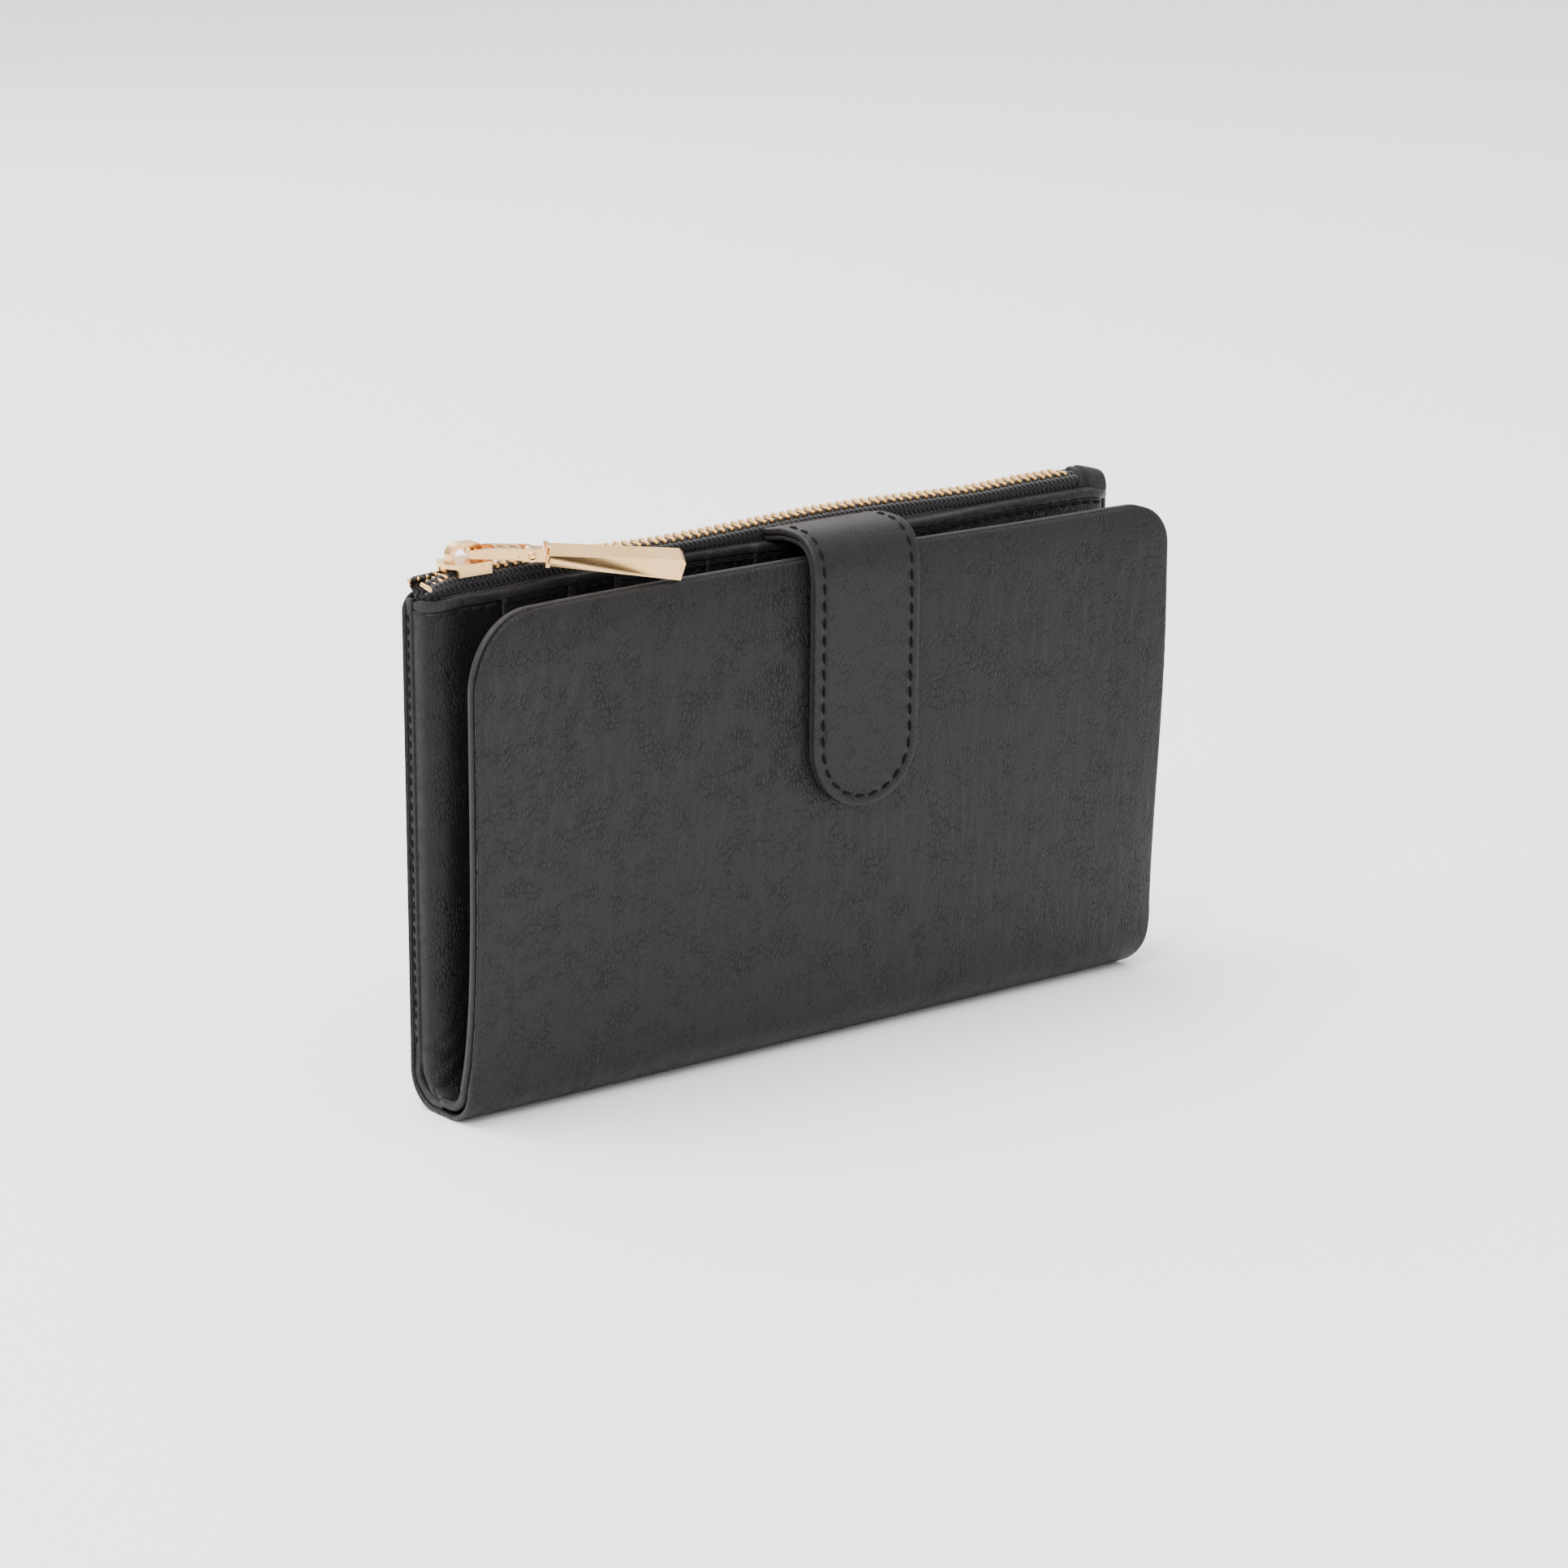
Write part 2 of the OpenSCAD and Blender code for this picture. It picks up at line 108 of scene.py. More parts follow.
def squarish(t, power):
    # a circle drawn out towards a square: sgn(cos t) |cos t|^power and sgn(sin t) |sin t|^power
    c, s = np.cos(t), np.sin(t)
    return np.sign(c) * np.abs(c) ** power, np.sign(s) * np.abs(s) ** power


def flatFace(x, z):
    # a face that nothing moves: 0 everywhere
    return 0 * x


def spaced(low, high, step, rim=2.4 * mm):
    # places from low to high, close together at both ends and a step apart between
    near = rim * np.array([0, 0.02, 0.06, 0.12, 0.2, 0.3, 0.43, 0.6, 0.8, 1.0])
    count = max(int(round((high - low - 2 * rim) / step)), 2)
    middle = np.linspace(low + rim, high - rim, count + 1)[1:-1]
    return np.concatenate([low + near, middle, high - near[::-1]])


# meshes

def newPiece(name, points, faces, material, uv=None, values=None):
    # one mesh object; uv holds two numbers for each point, values one number for each point by name
    mesh = bpy.data.meshes.new(name)
    mesh.from_pydata(points.reshape(-1, 3).tolist(), [], faces)
    mesh.update()
    for key, numbers in (values or {}).items():
        layer = mesh.attributes.new(key, "FLOAT", "POINT")
        layer.data.foreach_set("value", numbers.reshape(-1).astype(np.float32))
    if uv is not None:
        loops = np.zeros(len(mesh.loops), np.int32)
        mesh.loops.foreach_get("vertex_index", loops)
        layer = mesh.uv_layers.new(name="UVMap")
        layer.data.foreach_set("uv", uv.reshape(-1, 2)[loops].reshape(-1).astype(np.float32))
    work = bmesh.new()
    work.from_mesh(mesh)
    bmesh.ops.remove_doubles(work, verts=work.verts, dist=1e-7)
    bmesh.ops.recalc_face_normals(work, faces=work.faces)
    work.to_mesh(mesh)
    work.free()
    mesh.polygons.foreach_set("use_smooth", np.ones(len(mesh.polygons), bool))
    piece = bpy.data.objects.new(name, mesh)
    bpy.context.collection.objects.link(piece)
    mesh.materials.append(material)
    return piece


def gridQuads(rows, columns, start=0, wrap=False):
    # the quads of a grid whose point (i, j) has the number start + i * columns + j
    i, j = np.meshgrid(np.arange(rows - 1), np.arange(columns if wrap else columns - 1), indexing="ij")
    i, j, k = i.ravel(), j.ravel(), (j.ravel() + 1) % columns
    return (start + np.stack([i * columns + j, (i + 1) * columns + j,
                              (i + 1) * columns + k, i * columns + k], axis=1)).tolist()


def tubeFaces(rows, columns):
    # the quads of a tube and a flat cap at each end
    caps = [list(range(columns)), list(range((rows - 1) * columns, rows * columns))]
    return gridQuads(rows, columns, wrap=True) + caps


def rimQuads(rows, columns, total):
    # the strip that joins the borders of two grids, numbered from 0 and from total
    loop = np.concatenate([np.arange(columns), np.arange(1, rows) * columns + columns - 1,
                           (rows - 1) * columns + np.arange(columns - 2, -1, -1),
                           np.arange(rows - 2, 0, -1) * columns])
    after = np.roll(loop, -1)
    return np.stack([loop, after, after + total, loop + total], axis=1).tolist()


def layerPiece(name, outer, inner, edge, material, uv=None):
    # a closed sheet between an outer and an inner grid of points; edge is the distance to the outline
    rows, columns = outer.shape[:2]
    total = rows * columns
    faces = gridQuads(rows, columns) + gridQuads(rows, columns, total) + rimQuads(rows, columns, total)
    points = np.concatenate([outer.reshape(-1, 3), inner.reshape(-1, 3)])
    both = None if uv is None else np.concatenate([uv.reshape(-1, 2)] * 2)
    return newPiece(name, points, faces, material, both,
                    {"edgeDistance": np.concatenate([edge.ravel()] * 2) / mm})


def ringsAt(x, y, z):
    # rings of points, one at each x, from grids of their y and z
    return np.stack([np.repeat(x[:, None], y.shape[1], axis=1), y, z], axis=-1)


def sweptPiece(name, rings, material, uv=None):
    # a closed skin over rings of points, shape (rings, points, 3), with a flat cap at each end
    return newPiece(name, rings, tubeFaces(*rings.shape[:2]), material, uv)


def repeatedPiece(name, template, faces, places, axes, material):
    # copies of one small shape: point = place + x * along + y * across + z * out, for each place
    points = places[:, None, :] + np.einsum("pk,nkc->npc", template, axes)
    count = len(template)
    every = [[v + n * count for v in face] for n in range(len(places)) for face in faces]
    return newPiece(name, points, every, material)


# node groups and materials

def newGroup(name, inputs, outputs):
    group = bpy.data.node_groups.new(name, "ShaderNodeTree")
    for label, kind, value in inputs:
        socket = group.interface.new_socket(label, in_out="INPUT", socket_type=kind)
        if value is not None:
            socket.default_value = value
    for label, kind in outputs:
        group.interface.new_socket(label, in_out="OUTPUT", socket_type=kind)
    return group, group.nodes.new("NodeGroupInput"), group.nodes.new("NodeGroupOutput")


def mathNode(tree, operation, a, b=None, c=None):
    node = tree.nodes.new("ShaderNodeMath")
    node.operation = operation
    for socket, value in zip(node.inputs, (a, b, c)):
        if value is None:
            continue
        if isinstance(value, (int, float)):
            socket.default_value = value
        else:
            tree.links.new(value, socket)
    return node.outputs[0]


def noiseNode(tree, vector, scale, detail=2.0, roughness=0.5):
    node = tree.nodes.new("ShaderNodeTexNoise")
    node.inputs["Detail"].default_value = detail
    node.inputs["Roughness"].default_value = roughness
    tree.links.new(vector, node.inputs["Vector"])
    if isinstance(scale, (int, float)):
        node.inputs["Scale"].default_value = scale
    else:
        tree.links.new(scale, node.inputs["Scale"])
    return node.outputs["Fac"]


def drawnOut(tree, vector, upright):
    # places squeezed in height, so that a pattern on them is drawn out upwards
    node = tree.nodes.new("ShaderNodeMapping")
    node.inputs["Scale"].default_value = (1.0, 1.0, upright)
    tree.links.new(vector, node.inputs["Vector"])
    return node.outputs["Vector"]


# upright: how pebbles and creases are drawn out in height; the scales are in waves a metre
grainShape = {"pebbleUpright": 0.45, "creaseUpright": 0.24, "bendScale": 260.0, "bend": 0.0013,
              "valley": 0.15, "wanderScale": 210.0, "faintest": 0.12, "creaseScale": 430.0,
              "patchScale": 45.0, "slowScale": 22.0}


def nappaGrainGroup():
    # pebbles drawn out upwards whose valleys fade in smooth places, pores on them, creases, and a colour
    # tone that is painted shade along the pebbles' valleys mixed with a slow random tone
    group, given, result = newGroup(
        "nappaGrain",
        [("Vector", "NodeSocketVector", None), ("Pebbles", "NodeSocketFloat", 900.0),
         ("Pores", "NodeSocketFloat", 3200.0), ("Creases", "NodeSocketFloat", 0.6)],
        [("Height", "NodeSocketFloat"), ("ToneWithPaintedShade", "NodeSocketFloat"), ("Polish", "NodeSocketFloat")])
    at = given.outputs["Vector"]
    vector = drawnOut(group, at, grainShape["pebbleUpright"])
    bend = group.nodes.new("ShaderNodeTexNoise")
    bend.inputs["Scale"].default_value = grainShape["bendScale"]
    group.links.new(vector, bend.inputs["Vector"])
    warp = group.nodes.new("ShaderNodeVectorMath")
    warp.operation = "MULTIPLY_ADD"
    warp.inputs[1].default_value = [grainShape["bend"]] * 3
    group.links.new(bend.outputs["Color"], warp.inputs[0])
    group.links.new(vector, warp.inputs[2])
    cells = group.nodes.new("ShaderNodeTexVoronoi")
    cells.feature = "DISTANCE_TO_EDGE"
    group.links.new(warp.outputs[0], cells.inputs["Vector"])
    group.links.new(given.outputs["Pebbles"], cells.inputs["Scale"])
    valley = group.nodes.new("ShaderNodeMapRange")
    valley.interpolation_type = "SMOOTHSTEP"
    valley.inputs["From Max"].default_value = grainShape["valley"]
    group.links.new(cells.outputs["Distance"], valley.inputs["Value"])
    wander = noiseNode(group, at, grainShape["wanderScale"], 3.0)
    strength = mathNode(group, "MAXIMUM", mathNode(group, "MULTIPLY_ADD", wander, 3.0, -1.0),
                        grainShape["faintest"])
    strength = mathNode(group, "MINIMUM", strength, 1.0)
    gap = mathNode(group, "MULTIPLY", mathNode(group, "SUBTRACT", 1.0, valley.outputs[0]), strength)
    pebble = mathNode(group, "SUBTRACT", 1.0, gap)
    pores = noiseNode(group, vector, given.outputs["Pores"], 3.0, 0.6)
    crease = noiseNode(group, drawnOut(group, at, grainShape["creaseUpright"]), grainShape["creaseScale"])
    patch = noiseNode(group, at, grainShape["patchScale"])
    creases = mathNode(group, "MULTIPLY", mathNode(group, "MULTIPLY", crease, patch),
                       given.outputs["Creases"])
    height = mathNode(group, "MULTIPLY_ADD", pebble, 0.62, creases)
    height = mathNode(group, "MULTIPLY_ADD", pores, 0.12, height)
    slow = noiseNode(group, at, grainShape["slowScale"], 3.0)
    # painted shade: the colour tone darkens along the pebbles' valleys, over a slow random tone
    valleyShadedTone = mathNode(group, "MULTIPLY_ADD", slow, 0.3, mathNode(group, "MULTIPLY", pebble, 0.75))
    polish = mathNode(group, "MULTIPLY_ADD", pores, 0.5, mathNode(group, "MULTIPLY", patch, 0.5))
    group.links.new(height, result.inputs["Height"])
    group.links.new(valleyShadedTone, result.inputs["ToneWithPaintedShade"])
    group.links.new(polish, result.inputs["Polish"])
    return group


def edgeWearGroup():
    # 1 where a piece's edgeDistance, in millimetres, is under Reach, broken up by a fine noise
    group, given, result = newGroup(
        "edgeWear",
        [("Vector", "NodeSocketVector", None), ("Distance", "NodeSocketFloat", 5.0),
         ("Reach", "NodeSocketFloat", 0.8)],
        [("Wear", "NodeSocketFloat")])
    near = mathNode(group, "SUBTRACT", 1.0, mathNode(group, "DIVIDE", given.outputs["Distance"],
                                                   given.outputs["Reach"]))
    broken = noiseNode(group, given.outputs["Vector"], 700.0, 3.0)
    wear = mathNode(group, "MULTIPLY", mathNode(group, "MAXIMUM", near, 0.0), broken)
    group.links.new(wear, result.inputs["Wear"])
    return group


def herringboneGroup():
    # ribs that turn back at every Band: sin(2 pi Ribs (u + pingpong(v, Band)))
    group, given, result = newGroup(
        "herringbone",
        [("UV", "NodeSocketVector", None), ("Ribs", "NodeSocketFloat", 1.5),
         ("Band", "NodeSocketFloat", 0.75)],
        [("Height", "NodeSocketFloat"), ("ToneWithPaintedShade", "NodeSocketFloat")])
    split = group.nodes.new("ShaderNodeSeparateXYZ")
    group.links.new(given.outputs["UV"], split.inputs[0])
    turned = mathNode(group, "PINGPONG", split.outputs["Y"], given.outputs["Band"])
    phase = mathNode(group, "MULTIPLY", mathNode(group, "ADD", split.outputs["X"], turned),
                     given.outputs["Ribs"])
    rib = mathNode(group, "SINE", mathNode(group, "MULTIPLY", phase, tau))
    height = mathNode(group, "MULTIPLY_ADD", rib, 0.5, 0.5)
    fuzz = noiseNode(group, given.outputs["UV"], 9.0, 2.0)
    group.links.new(mathNode(group, "MULTIPLY_ADD", fuzz, 0.4, height), result.inputs["Height"])
    # painted light and shade: the colour tone is lighter on the ribs' crests and darker in their troughs,
    # broken by a random fuzz
    group.links.new(mathNode(group, "MULTIPLY", height, fuzz), result.inputs["ToneWithPaintedShade"])
    return group


def platingGroup():
    # fine handling marks and slow cloudiness on plated metal
    group, given, result = newGroup(
        "plating",
        [("Vector", "NodeSocketVector", None), ("Marks", "NodeSocketFloat", 1400.0)],
        [("Height", "NodeSocketFloat"), ("Cloud", "NodeSocketFloat"), ("Specks", "NodeSocketFloat")])
    cloud = noiseNode(group, given.outputs["Vector"], 120.0, 3.0)
    marks = noiseNode(group, given.outputs["Vector"], given.outputs["Marks"], 4.0, 0.65)
    specks = group.nodes.new("ShaderNodeMapRange")
    specks.inputs["From Min"].default_value = 0.63
    specks.inputs["From Max"].default_value = 0.75
    group.links.new(marks, specks.inputs["Value"])
    group.links.new(mathNode(group, "MULTIPLY_ADD", marks, 0.5, cloud), result.inputs["Height"])
    group.links.new(cloud, result.inputs["Cloud"])
    group.links.new(specks.outputs[0], result.inputs["Specks"])
    return group


groups = {"grain": nappaGrainGroup(), "wear": edgeWearGroup(), "weave": herringboneGroup(),
          "plating": platingGroup()}


def newMaterial(name, roughness=0.5, metallic=0.0, specular=0.5, sheen=0.0):
    material = bpy.data.materials.new(name)
    material.use_nodes = True
    tree = material.node_tree
    shader = tree.nodes["Principled BSDF"]
    shader.inputs["Roughness"].default_value = roughness
    shader.inputs["Metallic"].default_value = metallic
    shader.inputs["Specular IOR Level"].default_value = specular
    shader.inputs["Sheen Weight"].default_value = sheen
    shader.inputs["Sheen Roughness"].default_value = 0.4
    return material, tree, shader, tree.nodes.new("ShaderNodeTexCoord")


def placed(tree, group, **values):
    node = tree.nodes.new("ShaderNodeGroup")
    node.node_tree = groups[group]
    for label, value in values.items():
        if isinstance(value, (int, float)):
            node.inputs[label].default_value = value
        else:
            tree.links.new(value, node.inputs[label])
    return node


def mixedColour(tree, factor, dark, light):
    node = tree.nodes.new("ShaderNodeMix")
    node.data_type = "RGBA"
    colours = [s for s in node.inputs if s.type == "RGBA"]
    for socket, value in zip(colours, (dark, light)):
        if isinstance(value, tuple):
            socket.default_value = (*value, 1.0)
        else:
            tree.links.new(value, socket)
    tree.links.new(factor, node.inputs[0])
    return [s for s in node.outputs if s.type == "RGBA"][0]


def ranged(tree, value, low, high):
    # a value from 0 to 1 carried to low..high
    return mathNode(tree, "MULTIPLY_ADD", value, high - low, low)


def bumped(tree, shader, height, strength, distance):
    bump = tree.nodes.new("ShaderNodeBump")
    bump.inputs["Strength"].default_value = strength
    bump.inputs["Distance"].default_value = distance
    tree.links.new(height, bump.inputs["Height"])
    tree.links.new(bump.outputs["Normal"], shader.inputs["Normal"])


def leatherMaterial(name, look):
    material, tree, shader, place = newMaterial(name, specular=look["specular"], sheen=look["sheen"])
    at = place.outputs["Object"]
    grain = placed(tree, "grain", Vector=at, Pebbles=look["pebbles"], Pores=look["pores"],
                   Creases=look["creases"])
    distance = tree.nodes.new("ShaderNodeAttribute")
    distance.attribute_name = "edgeDistance"
    wear = placed(tree, "wear", Vector=at, Distance=distance.outputs["Fac"], Reach=look["wearReach"])
    # the dark colour falls in the grain's valleys: painted shade
    base = mixedColour(tree, grain.outputs["ToneWithPaintedShade"], look["dark"], look["light"])
    colour = mixedColour(tree, wear.outputs["Wear"], base, look["worn"])
    tree.links.new(colour, shader.inputs["Base Color"])
    rough = ranged(tree, grain.outputs["Polish"], look["roughLow"], look["roughHigh"])
    tree.links.new(rough, shader.inputs["Roughness"])
    bumped(tree, shader, grain.outputs["Height"], look["bump"], look["bumpDepth"])
    return material


coverLook = {"dark": (0.0024, 0.0019, 0.0020), "light": (0.0128, 0.0108, 0.0112),
             "worn": (0.026, 0.0235, 0.024), "pebbles": 1150.0, "pores": 2600.0, "creases": 2.6,
             "wearReach": 0.9, "roughLow": 0.34, "roughHigh": 0.46, "specular": 0.17, "sheen": 0.0,
             "bump": 0.75, "bumpDepth": 0.0003}
tabLook = dict(coverLook, pebbles=1350.0, creases=0.5, bump=0.5)
# painted shade: the pocket's leather is a darker copy of the cover leather, for the shade in the gap by the
# flap; the lining leather inherits these darker colours
shadedWallLook = dict(coverLook, pebbles=1350.0, creases=0.5, roughLow=0.32, roughHigh=0.46, bump=0.6,
                dark=(0.0018, 0.0015, 0.0016), light=(0.0085, 0.0074, 0.0077))
liningLook = dict(shadedWallLook, pebbles=1500.0, bump=0.35, roughLow=0.42, roughHigh=0.6)

coverLeather = leatherMaterial("coverLeather", coverLook)
tabLeather = leatherMaterial("tabLeather", tabLook)
shadedWallLeather = leatherMaterial("shadedWallLeather", shadedWallLook)
liningLeather = leatherMaterial("liningLeather", liningLook)


def wovenMaterial(name, look):
    material, tree, shader, place = newMaterial(name, specular=0.3, sheen=look["sheen"])
    weave = placed(tree, "weave", UV=place.outputs["UV"], Ribs=look["ribs"], Band=look["band"])
    # the light colour falls on the rib crests and the dark in the troughs: painted light and shade
    colour = mixedColour(tree, weave.outputs["ToneWithPaintedShade"], look["dark"], look["light"])
    tree.links.new(colour, shader.inputs["Base Color"])
    tree.links.new(ranged(tree, weave.outputs["ToneWithPaintedShade"], 0.85, 0.6), shader.inputs["Roughness"])
    bumped(tree, shader, weave.outputs["Height"], look["bump"], 0.00022)
    return material


# dark and light: the woven tape's troughs and crests, painted shade and painted light
zipTapeLook = {"dark": (0.006, 0.0055, 0.006), "light": (0.085, 0.08, 0.082), "ribs": 0.8, "band": 1.1,
               "bump": 0.9, "sheen": 0.1}
zipTapeCloth = wovenMaterial("zipTapeCloth", zipTapeLook)
liningCloth = wovenMaterial("liningCloth", dict(zipTapeLook, ribs=2.4, band=0.4, bump=0.35))


def goldMaterial(name, look):
    material, tree, shader, place = newMaterial(name, metallic=1.0)
    plate = placed(tree, "plating", Vector=place.outputs["Object"], Marks=look["marks"])
    base = mixedColour(tree, plate.outputs["Cloud"], look["deep"], look["pale"])
    colour = mixedColour(tree, plate.outputs["Specks"], base, look["speck"])
    tree.links.new(colour, shader.inputs["Base Color"])
    rough = mathNode(tree, "MULTIPLY_ADD", plate.outputs["Specks"], 0.18,
                     ranged(tree, plate.outputs["Cloud"], look["roughLow"], look["roughHigh"]))
    tree.links.new(rough, shader.inputs["Roughness"])
    bumped(tree, shader, plate.outputs["Height"], look["bump"], 0.0001)
    return material


pullerLook = {"deep": (0.80, 0.46, 0.17), "pale": (0.94, 0.63, 0.31), "speck": (0.30, 0.16, 0.07),
              "roughLow": 0.17, "roughHigh": 0.31, "marks": 900.0, "bump": 0.10}
pullerGold = goldMaterial("pullerGold", pullerLook)
teethGold = goldMaterial("teethGold", dict(pullerLook, deep=(0.62, 0.36, 0.12), pale=(0.86, 0.56, 0.24),
                                           roughLow=0.2, roughHigh=0.34, marks=2500.0))
magnetSteel = goldMaterial("magnetSteel", dict(pullerLook, deep=(0.42, 0.42, 0.44), pale=(0.6, 0.6, 0.62),
                                               speck=(0.2, 0.2, 0.2), roughLow=0.3, roughHigh=0.45))


def threadMaterial():
    # twisted thread: ribs that wind round each stitch
    material, tree, shader, place = newMaterial("seamThread", roughness=0.7, specular=0.12)
    twist = noiseNode(tree, place.outputs["Object"], 3800.0, 2.0)
    tree.links.new(mixedColour(tree, twist, (0.0008, 0.0008, 0.0008), (0.0045, 0.0042, 0.0044)),
                   shader.inputs["Base Color"])
    bumped(tree, shader, twist, 0.3, 0.0001)
    return material


def boardMaterial():
    # pressed fibres, long and pale
    material, tree, shader, place = newMaterial("fibreBoard", roughness=0.8)
    fibres = noiseNode(tree, place.outputs["Object"], 1500.0, 5.0, 0.7)
    tree.links.new(mixedColour(tree, fibres, (0.33, 0.29, 0.22), (0.56, 0.51, 0.42)),
                   shader.inputs["Base Color"])
    bumped(tree, shader, fibres, 0.4, 0.0001)
    return material


seamThread = threadMaterial()
fibreBoard = boardMaterial()
print("materials made")


# how the soft leather really lies

bow = {"leftCurl": 5.0 * mm, "leftReach": 19 * mm, "rightCurl": 3.6 * mm, "rightReach": 19 * mm,
       "hollow": 1.3 * mm, "ripple": 0.14 * mm}


def flapBow(x, z):
    # how far the flap stands out past its flat, towards -Y: curled side edges that die away inwards,
    # left (1 - e^(-h/16)) e^(-(x + half)/reach), right smooth(h/75) e^(-(half - x)/reach), and a slow swell
    rise = np.maximum(z - bendRadius, 0)
    left = bow["leftCurl"] * (1 - np.exp(-rise / (16 * mm))) * np.exp(-(x + coverHalf) / bow["leftReach"])
    right = bow["rightCurl"] * smooth(rise / (75 * mm)) * np.exp(-(coverHalf - x) / bow["rightReach"])
    swell = bow["hollow"] * hump(x, 55 * mm, 22 * mm) * rise / flapTop
    return left + right + swell


def flapRipple(x, z):
    # shallow upright creases near the upper left corner, where a wandering sine is cut to its crests:
    # a (max(sin p, 0)^3 + 0.6 sin q) fading away, with p and q bent by slower sines of z and x
    fade = hump(x, -72 * mm, 20 * mm) * smooth((z - 20 * mm) / (60 * mm))
    p = x / (1.3 * mm) + 1.7 * np.sin(z / (7 * mm)) + 2.1 * np.sin(x / (5.3 * mm) + z / (19 * mm))
    q = x / (0.8 * mm) + 2.3 * np.sin(z / (4.1 * mm) + 1) + 1.3 * np.sin(x / (2.9 * mm))
    fine = 0.6 * np.sin(q) * hump(z, 80 * mm, 30 * mm)
    return bow["ripple"] * fade * (np.maximum(np.sin(p), 0) ** 3 + fine)


cheek = {"pinch": 5.4 * mm, "reach": 7 * mm, "bulge": 1.5 * mm, "recess": 2.0 * mm, "dip": 1.2 * mm}


def pocketShift(x, z):
    # how far the pocket's front layers lie behind (+) or before (-) their flat: drawn back to the
    # back cover at both sides like a quarter ellipse, full at the left, pressed in further right
    inside = np.clip((pocketHalf - np.abs(x)) / cheek["reach"], 0, 1)
    pinch = cheek["pinch"] * (1 - np.sqrt(np.maximum(1 - (1 - inside) ** 2, 0)))
    rise = smooth((z - 12 * mm) / (70 * mm))
    bulge = cheek["bulge"] * hump(x, -78 * mm, 14 * mm) * rise
    recess = cheek["recess"] * (hump(x, -22 * mm, 24 * mm) + 0.8 * smooth((x - 38 * mm) / (25 * mm))) * rise
    return pinch - bulge + recess


def topWave(x):
    # the pocket's upper edge: a slow wave, and a dip at both ends
    wave = 0.35 * mm * (hump(x, -25 * mm, 22 * mm) + hump(x, 65 * mm, 30 * mm) - hump(x, -78 * mm, 10 * mm))
    return wave - cheek["dip"] * smooth((np.abs(x) - pocketHalf + 9 * mm) / (9 * mm))


def nearTop(z):
    # how much of the top edge's wave a height takes on: none up to 60 mm, all from 105 mm
    return smooth((z - 60 * mm) / (45 * mm))


# cover, lining and boards that follow the fold

def foldPoint(s, depth):
    # the fold's path at arc length s from the middle of the foot, depth below the outer leather:
    # flat foot, quarter circle, upright panel; gives the distance from the middle plane, and z
    bendLength = bendRadius * math.pi / 2
    turn = np.clip((s - footFlat) / bendRadius, 0, math.pi / 2)
    out = np.minimum(s, footFlat) + bendRadius * np.sin(turn)
    up = bendRadius * (1 - np.cos(turn)) + np.maximum(s - footFlat - bendLength, 0)
    return out - depth * np.sin(turn), up + depth * np.cos(turn)


def foldLength(z):
    # arc length from the middle of the foot to a height z on the upright panel
    return footFlat + bendRadius * math.pi / 2 + z - bendRadius


drawnIn = 4.5 * mm                               # how far the foot's right end is drawn in
drawnInTop = 13 * mm                             # the height where that ends
quarterTurn = math.pi / 2 * 0.985                # a round corner stops just short of its last point


def foldedSheet(name, side, look, material):
    # side * foldPoint(s, depth) moved by the bow; the outline is a strip with two round upper corners
    half, top, radius = look["half"], foldLength(look["top"]), look["corner"]
    thick, step, rightRadius = look["thick"], look["step"], look.get("rightCorner", look["corner"])
    roundness = min(look["round"], 0.48 * (thick + look["turnedEdge"]))
    straight = spaced(look["start"], top - radius, step)
    if look["start"] == 0:
        straight = np.linspace(0, top - radius, int((top - radius) / step) + 1)
    angles = np.linspace(0, quarterTurn, 26)[1:]
    s = np.concatenate([straight, top - radius + radius * np.sin(angles)])[:, None]

    def halfAt(r):
        # half the width at s, narrowed by a round corner of radius r
        above = np.clip((s - (top - r)) / r, 0, 1)
        return half - r + r * np.sqrt(np.maximum(1 - above * above, 1e-6))

    across = spaced(-half, half, step)[None, :] / half
    x = np.where(across < 0, halfAt(radius) * across, halfAt(rightRadius) * across)
    s = np.repeat(s, x.shape[1], axis=1)
    r = np.where(x < 0, radius, rightRadius)
    qx = np.abs(x) - (half - r)
    qs = s - (top - r)
    edge = r - np.hypot(np.maximum(qx, 0), np.maximum(qs, 0)) - np.minimum(np.maximum(qx, qs), 0)
    x = x - drawnIn * (1 - smooth(s / foldLength(drawnInTop))) * smooth(x / half) ** 4
    if look["start"] > 0:
        edge = np.minimum(edge, s - look["start"])
    edge = np.maximum(edge, 0)
    z = foldPoint(s, 0)[1]
    grids = []
    for depth, sign in ((look["depth"], 1), (look["depth"] + thick, -1)):
        sink = roundDrop(edge, roundness) * sign
        roll = np.exp(-edge / look["rollReach"]) * smooth(s / foldLength(20 * mm))
        if sign == 1:
            crown = look["crown"] * (1 - roll) * smooth((s - footFlat) / (20 * mm))
            sink = sink + look["softEdge"] * roll - crown - look["ripples"](x, z)
        turned = look["turnedEdge"] * np.exp(-(edge / (2.0 * mm)) ** 4)
        sink = sink - (0.15 * turned if sign == 1 else -turned)
        out, up = foldPoint(s, depth + sink)
        grids.append(np.stack([x, side * (out + look["bow"](x, z)), up], axis=-1))
    return layerPiece(name, grids[0], grids[1], edge, material)


def nodeSheet(node, side, **changes):
    # the sizes of a sheet that stands where a CAD node does
    low, high = corners(node)
    near, far = (high[1], low[1]) if side > 0 else (-low[1], -high[1])
    sizes = {"half": high[0], "top": high[2], "start": 0.0, "corner": 3 * mm, "depth": outerFace - near,
             "thick": near - far, "step": 1.6 * mm, "round": 0.5 * mm, "softEdge": 0.0, "crown": 0.0,
             "rollReach": 3.2 * mm, "turnedEdge": 0.0,
             "ripples": flatFace, "bow": flapBow if side < 0 else flatFace}
    return dict(sizes, **changes)


